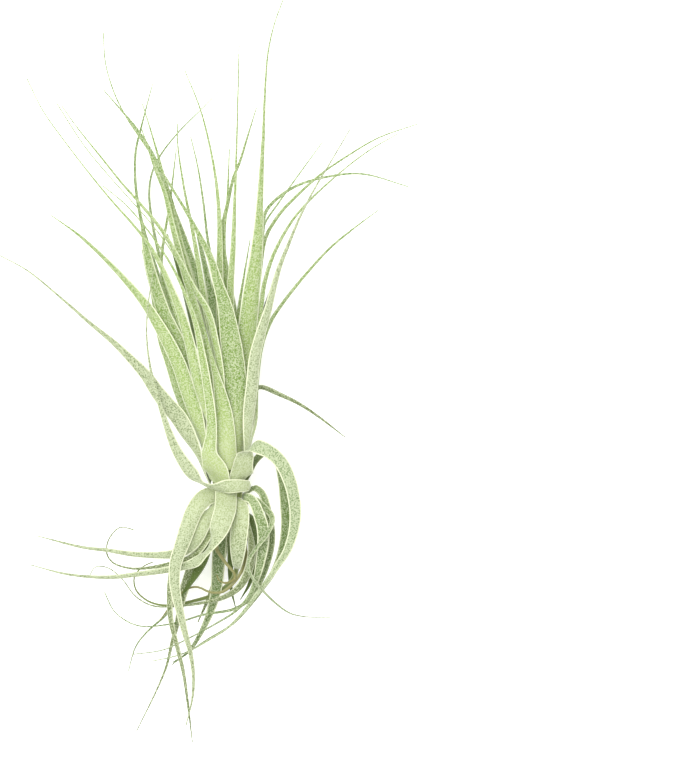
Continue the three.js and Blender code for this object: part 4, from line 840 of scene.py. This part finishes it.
def scurf_tree():
    """Low three-sided flakes strewn over the leaves of a collection, each turned at random."""
    graph, given, wanted = group_graph(
        "Scurf", "GeometryNodeTree",
        (
            ("Geometry", "Geometry"),
            ("Leaves", "Collection"),
            ("Density", "Float"),
            ("Flake Size", "Float"),
            ("Seed", "Int"),
            ("Finish", "Material"),
        ),
        (("Flakes", "Geometry"),),
    )
    leaves = graph.field(
        "GeometryNodeRealizeInstances", graph.field("GeometryNodeCollectionInfo", given["Leaves"]),
    )
    cover = graph.smooth(named(graph, "width"), BARE_WIDTH, COVERED_WIDTH)
    strewn = graph.add("GeometryNodeDistributePointsOnFaces", leaves, True, given["Density"] * cover)
    graph.feed(strewn.inputs["Seed"], given["Seed"])
    flake = graph.field("GeometryNodeMeshCone", FLAKE_SIDES, 1, 1, 0.0, 1.0, FLAKE_HEIGHT)
    spin = graph.field("FunctionNodeRandomValue", 0.0, math.tau, data_type="FLOAT")
    turned = graph.field(
        "FunctionNodeRotateRotation", Field(graph, strewn.outputs["Rotation"]),
        graph.field("FunctionNodeAxisAngleToRotation", (0.0, 0.0, 1.0), spin),
        rotation_space="LOCAL",
    )
    size = graph.field("FunctionNodeRandomValue", SMALLEST_FLAKE, LARGEST_FLAKE, data_type="FLOAT")
    size = size * given["Flake Size"]
    flakes = graph.add("GeometryNodeInstanceOnPoints", strewn)
    graph.feed(flakes.inputs["Instance"], flake)
    graph.feed(flakes.inputs["Rotation"], turned)
    graph.feed(flakes.inputs["Scale"], graph.point(size, size * FLAKE_NARROWNESS, size))
    real = graph.field("GeometryNodeRealizeInstances", flakes)
    graph.feed(wanted[0], graph.field("GeometryNodeSetMaterial", real, True, given["Finish"]))
    return graph.tree


# Finishes

GRAIN_EDGE = (0.6, 0.9)  # where the scurf starts in its field of spots and clouds, and is thick
STREAK_EDGE = (0.3, 0.7)
TONE_SHIFT = 37  # moves the streaks so that no two leaves match

# Where each zone of a leaf starts and where it is full: the pale margin, partly a painted highlight, and the
# darker band inside it, in widths of the margin line; the blade's width, in metres, that shows a margin at
# all; the inner side, which takes painted shade; and the end, as shares of the length
MARGIN_EDGE = (1.0, 0.4)
BAND_EDGE = (4.0, 1.0)
MARGIN_FROM_WIDTH = (0.001, 0.004)
INNER_EDGE = (0.12, -0.12)
END_EDGE = (0.3, 0.9)


def grain_group():
    """Fine scurf: a mask of small pale cells, and their height."""
    graph, given, wanted = group_graph(
        "Scurf grain", "ShaderNodeTree",
        (("Cell", "Float", 0.00045), ("Cover", "Float", 0.5)),
        (("Mask", "Float"), ("Height", "Float")),
    )
    place = Field(graph, graph.add("ShaderNodeTexCoord").outputs["Object"])
    cells = graph.add("ShaderNodeTexVoronoi", place, 1 / given["Cell"])
    cloud = graph.field("ShaderNodeTexNoise", place, 0.9 / given["Cell"], 1.0, 0.5)
    spot = Field(graph, cells.outputs["Distance"])
    mask = graph.smooth(cloud - spot * 0.5 + given["Cover"], *GRAIN_EDGE)
    graph.feed(wanted["Mask"], mask)
    graph.feed(wanted["Height"], mask * (1 - spot))
    return graph.tree


def streak_group():
    """Lines that run along a leaf: a mask of darker streaks between its veins, and their height."""
    graph, given, wanted = group_graph(
        "Leaf streaks", "ShaderNodeTree",
        (("Vein Spacing", "Float", 0.0009), ("Run", "Float", 0.014)),
        (("Mask", "Float"), ("Height", "Float")),
    )
    distance, across, width, tone = (
        attribute(graph, name) for name in ("distance", "across", "width", "tone")
    )
    offset = across * width / 2
    run = graph.point(distance / given["Run"], offset / given["Vein Spacing"], tone * TONE_SHIFT)
    streak = graph.field("ShaderNodeTexNoise", run, 1.0, 3.0, 0.6)
    vein = graph.math("SINE", offset / given["Vein Spacing"] * math.tau)
    graph.feed(wanted["Mask"], graph.smooth(streak, *STREAK_EDGE))
    graph.feed(wanted["Height"], vein * 0.5 + streak)
    return graph.tree


def zone_group():
    """Parts of a leaf as masks: its margins, its inner side, its base and its thread-like end."""
    graph, given, wanted = group_graph(
        "Leaf zones", "ShaderNodeTree",
        (("Margin", "Float", 0.0006), ("Base Length", "Float", 0.03)),
        (
            ("Margin", "Float"), ("Band", "Float"), ("Inner", "Float"), ("Base", "Float"),
            ("End", "Float"),
        ),
    )
    distance, across, side, width, share = (
        attribute(graph, name) for name in ("distance", "across", "side", "width", "share")
    )
    from_margin = (1 - graph.math("ABSOLUTE", across)) * width / 2
    line = graph.smooth(from_margin / given["Margin"], *MARGIN_EDGE)
    graph.feed(wanted["Margin"], line * graph.smooth(width, *MARGIN_FROM_WIDTH))
    graph.feed(wanted["Band"], graph.smooth(from_margin / given["Margin"], *BAND_EDGE))
    graph.feed(wanted["Inner"], graph.smooth(side, *INNER_EDGE))
    graph.feed(wanted["Base"], graph.smooth(distance / given["Base Length"], 1.0, 0.0))
    graph.feed(wanted["End"], graph.smooth(share, *END_EDGE))
    return graph.tree


def attribute(graph, name):
    """A value that a blade carries, read by a material."""
    node = graph.add("ShaderNodeAttribute", attribute_name=name)
    return Field(graph, node.outputs["Fac"])


def placed_group(graph, maker, name, **values):
    """A shared group in a material, with this material's values."""
    node = graph.add("ShaderNodeGroup", node_tree=bpy.data.node_groups.get(name) or maker())
    for key, value in values.items():
        node.inputs[key.replace("_", " ").title()].default_value = value
    return node


def new_material(name, roughness):
    """A matt material: its graph and its shader."""
    material = bpy.data.materials.new(name)
    material.use_nodes = True
    shader = material.node_tree.nodes["Principled BSDF"]
    shader.inputs["Roughness"].default_value = roughness
    return material, Graph(material.node_tree), shader


def opaque(rgb):
    return (*rgb, 1.0)


# Of each finish: how far its scurf covers it, its shine, and how far its base turns pale
FINISHES = {
    FRESH: ("fresh", 0.5, 0.72, 0.75),
    SILVER: ("silver", 0.57, 0.8, 0.5),
    OLD: ("old", 0.46, 0.78, 0.35),
    DRY: ("dry", 0.2, 0.8, 0.0),
}

# How far each thing shows in a leaf's colour. The channel colour paints shade and the margin is partly a
# painted highlight; on the leaves deep inside the plant, painted shade darkens the colour and dims the scurf
# and the margin
STREAK_SHARE = 0.3
TONE_SHARE = 0.7
END_SHARE = 0.8
BAND_SHARE = 0.5
CHANNEL_SHADE_SHARE = 0.5
SCURF_SHARE, SCURF_LOSS_IN_SHADE = 0.75, 0.7
MARGIN_AND_HIGHLIGHT_SHARE, MARGIN_LOSS_IN_SHADE = 0.9, 0.8
PAINTED_SHADE_TONE = (1.0, 1.6)
STREAK_RELIEF = 0.4


def leaf_material(name, colours):
    """A scurfy leaf: green that varies along its streaks, with a pale base, pale margins that are partly a
    painted highlight, silvery grain, painted shade inside its channel and dark painted shade on the leaves
    deep inside the plant."""
    prefix, cover, roughness, paleness = FINISHES[name]
    material, graph, shader = new_material(name, roughness)
    light = opaque(getattr(colours, prefix + "_light"))
    deep = opaque(getattr(colours, prefix + "_deep"))
    grain = placed_group(graph, grain_group, "Scurf grain", cover=cover)
    streaks = placed_group(graph, streak_group, "Leaf streaks")
    zones = placed_group(graph, zone_group, "Leaf zones")
    zone = {socket.name: Field(graph, socket) for socket in zones.outputs}
    tone = attribute(graph, "tone")
    scurf = Field(graph, grain.outputs["Mask"])
    streak = Field(graph, streaks.outputs["Mask"])
    # Painted shade on the leaves deep inside the plant: darker green, with less scurf and margin
    painted_shade = graph.smooth(tone, *PAINTED_SHADE_TONE)
    # A deeper tone moves the face to the deep colour: partly random, partly painted shade on low and hidden
    # leaves
    face = graph.mix(streak * STREAK_SHARE + tone * TONE_SHARE, light, deep)
    edges = graph.math("MAXIMUM", zone["End"] * END_SHARE, zone["Band"] * BAND_SHARE)
    face = graph.mix(edges, face, deep)
    face = graph.mix(zone["Base"] * paleness, face, opaque(colours.sheath))
    # Painted shade inside the channel
    face = graph.mix(zone["Inner"] * CHANNEL_SHADE_SHARE, face, opaque(colours.inner))
    face = graph.mix(painted_shade, face, opaque(colours.painted_shade))
    face = graph.mix(scurf * (SCURF_SHARE - painted_shade * SCURF_LOSS_IN_SHADE), face, opaque(colours.scurf))
    # The pale margin, partly a painted highlight
    face = graph.mix(zone["Margin"] * (MARGIN_AND_HIGHLIGHT_SHARE - painted_shade * MARGIN_LOSS_IN_SHADE), face, opaque(colours.margin))
    graph.feed(shader.inputs["Base Color"], face)
    shader.inputs["Sheen Weight"].default_value = 0.25
    shader.inputs["Sheen Roughness"].default_value = 0.4
    relief = Field(graph, grain.outputs["Height"])
    relief = relief + Field(graph, streaks.outputs["Height"]) * STREAK_RELIEF
    bump = graph.add("ShaderNodeBump")
    bump.inputs["Strength"].default_value = 0.5
    bump.inputs["Distance"].default_value = 0.00012
    graph.feed(bump.inputs["Height"], relief)
    graph.feed(shader.inputs["Normal"], bump)
    return material


def flake_material(colours):
    """One silvery colour that wavers a little from flake to flake."""
    material, graph, shader = new_material("scurf", 0.6)
    place = Field(graph, graph.add("ShaderNodeTexCoord").outputs["Object"])
    waver = graph.field("ShaderNodeTexNoise", place, 900.0, 2.0)
    face = graph.mix(waver, opaque(colours.scurf), opaque(colours.silver_light))
    graph.feed(shader.inputs["Base Color"], face)
    shader.inputs["Sheen Weight"].default_value = 0.3
    return material


def stem_material(colours):
    """Fibrous olive bark under the leaf bases, darkened as painted shade where it shows between them"""
    material, graph, shader = new_material(STEM, 0.85)
    place = Field(graph, graph.add("ShaderNodeTexCoord").outputs["Object"])
    fibres = graph.field(
        "ShaderNodeTexNoise", graph.vector("MULTIPLY", place, (2200.0, 260.0, 2200.0)), 1.0, 4.0, 0.6,
    )
    face = graph.mix(graph.smooth(fibres, 0.3, 0.7), opaque(colours.stem), opaque(colours.sheath))
    graph.feed(shader.inputs["Base Color"], face)
    bump = graph.add("ShaderNodeBump")
    bump.inputs["Distance"].default_value = 0.0002
    graph.feed(bump.inputs["Height"], fibres)
    graph.feed(shader.inputs["Normal"], bump)
    return material


def finish_for(context, name):
    """The material of a slot, made when it is first asked for."""
    found = bpy.data.materials.get("dressed_" + name)
    if found:
        return found
    colours = context.scene.plant_colours
    if name in FINISHES:
        made = leaf_material(name, colours)
    elif name == STEM:
        made = stem_material(colours)
    else:
        made = flake_material(colours)
    made.name = "dressed_" + name
    return made


# Operators

class AIRPLANT_OT_stem(bpy.types.Operator):
    """Make the short stem that every leaf grows from"""

    bl_idname = "airplant.stem"
    bl_label = "Stem"

    def execute(self, context):
        stem = bpy.data.objects.new("short_stem", stem_mesh())
        stem.data.materials.append(finish_for(context, STEM))
        context.scene.collection.objects.link(stem)
        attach(stem, BODY)
        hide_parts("stem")
        return {"FINISHED"}


class AIRPLANT_OT_rosette(bpy.types.Operator):
    """Make the blades of the upper rosette"""

    bl_idname = "airplant.rosette"
    bl_label = "Rosette"

    def execute(self, context):
        grow_leaves(context, UPPER_LEAVES, "Rosette")
        return {"FINISHED"}


class AIRPLANT_OT_arches(bpy.types.Operator):
    """Make the collar blade and the blades that arch over and hang down"""

    bl_idname = "airplant.arches"
    bl_label = "Arching leaves"

    def execute(self, context):
        grow_leaves(context, ARCHING_LEAVES, "Arches")
        return {"FINISHED"}


class AIRPLANT_OT_resting(bpy.types.Operator):
    """Make the blades under the rosette, which the plant lies on"""

    bl_idname = "airplant.resting"
    bl_label = "Resting leaves"

    def execute(self, context):
        grow_leaves(context, RESTING_LEAVES, "Resting")
        return {"FINISHED"}


class AIRPLANT_OT_skirt(bpy.types.Operator):
    """Make the skirt of old blades that hangs down from the neck"""

    bl_idname = "airplant.skirt"
    bl_label = "Skirt"

    def execute(self, context):
        grow_leaves(context, LOWER_LEAVES, "Skirt")
        return {"FINISHED"}


class AIRPLANT_OT_scurf(bpy.types.Operator):
    """Strew silvery flakes over the blades of each group"""

    bl_idname = "airplant.scurf"
    bl_label = "Scurf"

    def execute(self, context):
        sizes = context.scene.plant_sizes
        tree = scurf_tree()
        for seed, group in enumerate(("Rosette", "Arches", "Skirt"), SEED):
            name = "scurf_" + group.lower()
            flakes = bpy.data.objects.new(name, bpy.data.meshes.new(name))
            context.scene.collection.objects.link(flakes)
            baked(flakes, tree, {
                "Leaves": bpy.data.collections[group],
                "Density": sizes.flakes,
                "Flake Size": sizes.flake_size,
                "Seed": seed,
                "Finish": finish_for(context, "scurf"),
            })
            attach(flakes, BODY)
        return {"FINISHED"}


FLOOR_DROP = 0.0002  # the floor lies this far under the leaves that rest on it
LAMP_PLACE = (-0.3, 0.35, 1.6)


class AIRPLANT_OT_stage(bpy.types.Operator):
    """Make the pale floor, the soft light and the camera that looks straight down"""

    bl_idname = "airplant.stage"
    bl_label = "Stage"

    def execute(self, context):
        stage = context.scene.plant_stage
        self.make_floor(context, stage)
        self.make_light(context, stage)
        self.make_camera(context, stage)
        context.scene.view_settings.view_transform = "Standard"
        return {"FINISHED"}

    def make_floor(self, context, stage):
        half = stage.floor_size / 2
        signs = ((-1, -1), (1, -1), (1, 1), (-1, 1))
        corners = [(half * x, half * y, -FLOOR_DROP) for x, y in signs]
        mesh = bpy.data.meshes.new("floor")
        mesh.from_pydata(corners, [], [(0, 1, 2, 3)])
        material, _, shader = new_material("floor", 0.9)
        shader.inputs["Base Color"].default_value = opaque(stage.floor_colour)
        shader.inputs["Emission Color"].default_value = (1, 1, 1, 1)
        shader.inputs["Emission Strength"].default_value = stage.floor_glow
        mesh.materials.append(material)
        floor = bpy.data.objects.new("floor", mesh)
        context.scene.collection.objects.link(floor)

    def make_light(self, context, stage):
        world = bpy.data.worlds.new("soft sky")
        world.use_nodes = True
        sky = world.node_tree.nodes["Background"]
        sky.inputs["Color"].default_value = (1, 1, 1, 1)
        sky.inputs["Strength"].default_value = stage.sky
        context.scene.world = world
        lamp = bpy.data.lights.new("soft lamp", "AREA")
        lamp.energy = stage.lamp
        lamp.size = stage.lamp_size
        holder = bpy.data.objects.new("soft lamp", lamp)
        holder.location = LAMP_PLACE
        aim = Vector((*stage.centre, 0)) - holder.location
        holder.rotation_euler = aim.to_track_quat("-Z", "Y").to_euler()
        holder.visible_camera = False
        context.scene.collection.objects.link(holder)

    def make_camera(self, context, stage):
        lens = bpy.data.cameras.new("camera")
        lens.lens = lens.sensor_width * stage.camera_height / stage.view_height
        lens.clip_end = stage.camera_height * 2
        camera = bpy.data.objects.new("camera", lens)
        camera.location = (*stage.centre, stage.camera_height)
        context.scene.collection.objects.link(camera)
        context.scene.camera = camera


STEPS = (
    AIRPLANT_OT_stem, AIRPLANT_OT_rosette, AIRPLANT_OT_arches, AIRPLANT_OT_resting,
    AIRPLANT_OT_skirt, AIRPLANT_OT_scurf, AIRPLANT_OT_stage,
)


class AIRPLANT_PT_sidebar(bpy.types.Panel):
    """Lists the sizes, the colours and the steps that make the plant"""

    bl_idname = "AIRPLANT_PT_sidebar"
    bl_label = "Air plant"
    bl_space_type = "VIEW_3D"
    bl_region_type = "UI"
    bl_category = "Air plant"

    def draw(self, context):
        for settings in (
            context.scene.plant_sizes, context.scene.plant_colours, context.scene.plant_stage,
        ):
            box = self.layout.box()
            for name in settings.__annotations__:
                box.prop(settings, name)
        for step in STEPS:
            self.layout.operator(step.bl_idname)


CLASSES = (PlantSizes, PlantColours, StageSettings, *STEPS, AIRPLANT_PT_sidebar)


def register():
    for made in CLASSES:
        bpy.utils.register_class(made)
    bpy.types.Scene.plant_sizes = bpy.props.PointerProperty(type=PlantSizes)
    bpy.types.Scene.plant_colours = bpy.props.PointerProperty(type=PlantColours)
    bpy.types.Scene.plant_stage = bpy.props.PointerProperty(type=StageSettings)


def unregister():
    del bpy.types.Scene.plant_stage
    del bpy.types.Scene.plant_colours
    del bpy.types.Scene.plant_sizes
    for made in reversed(CLASSES):
        bpy.utils.unregister_class(made)


def main():
    """Makes the whole plant and its stage."""
    register()
    for step in STEPS:
        getattr(bpy.ops.airplant, step.bl_idname.split(".")[1])()


if __name__ == "__main__":
    main()
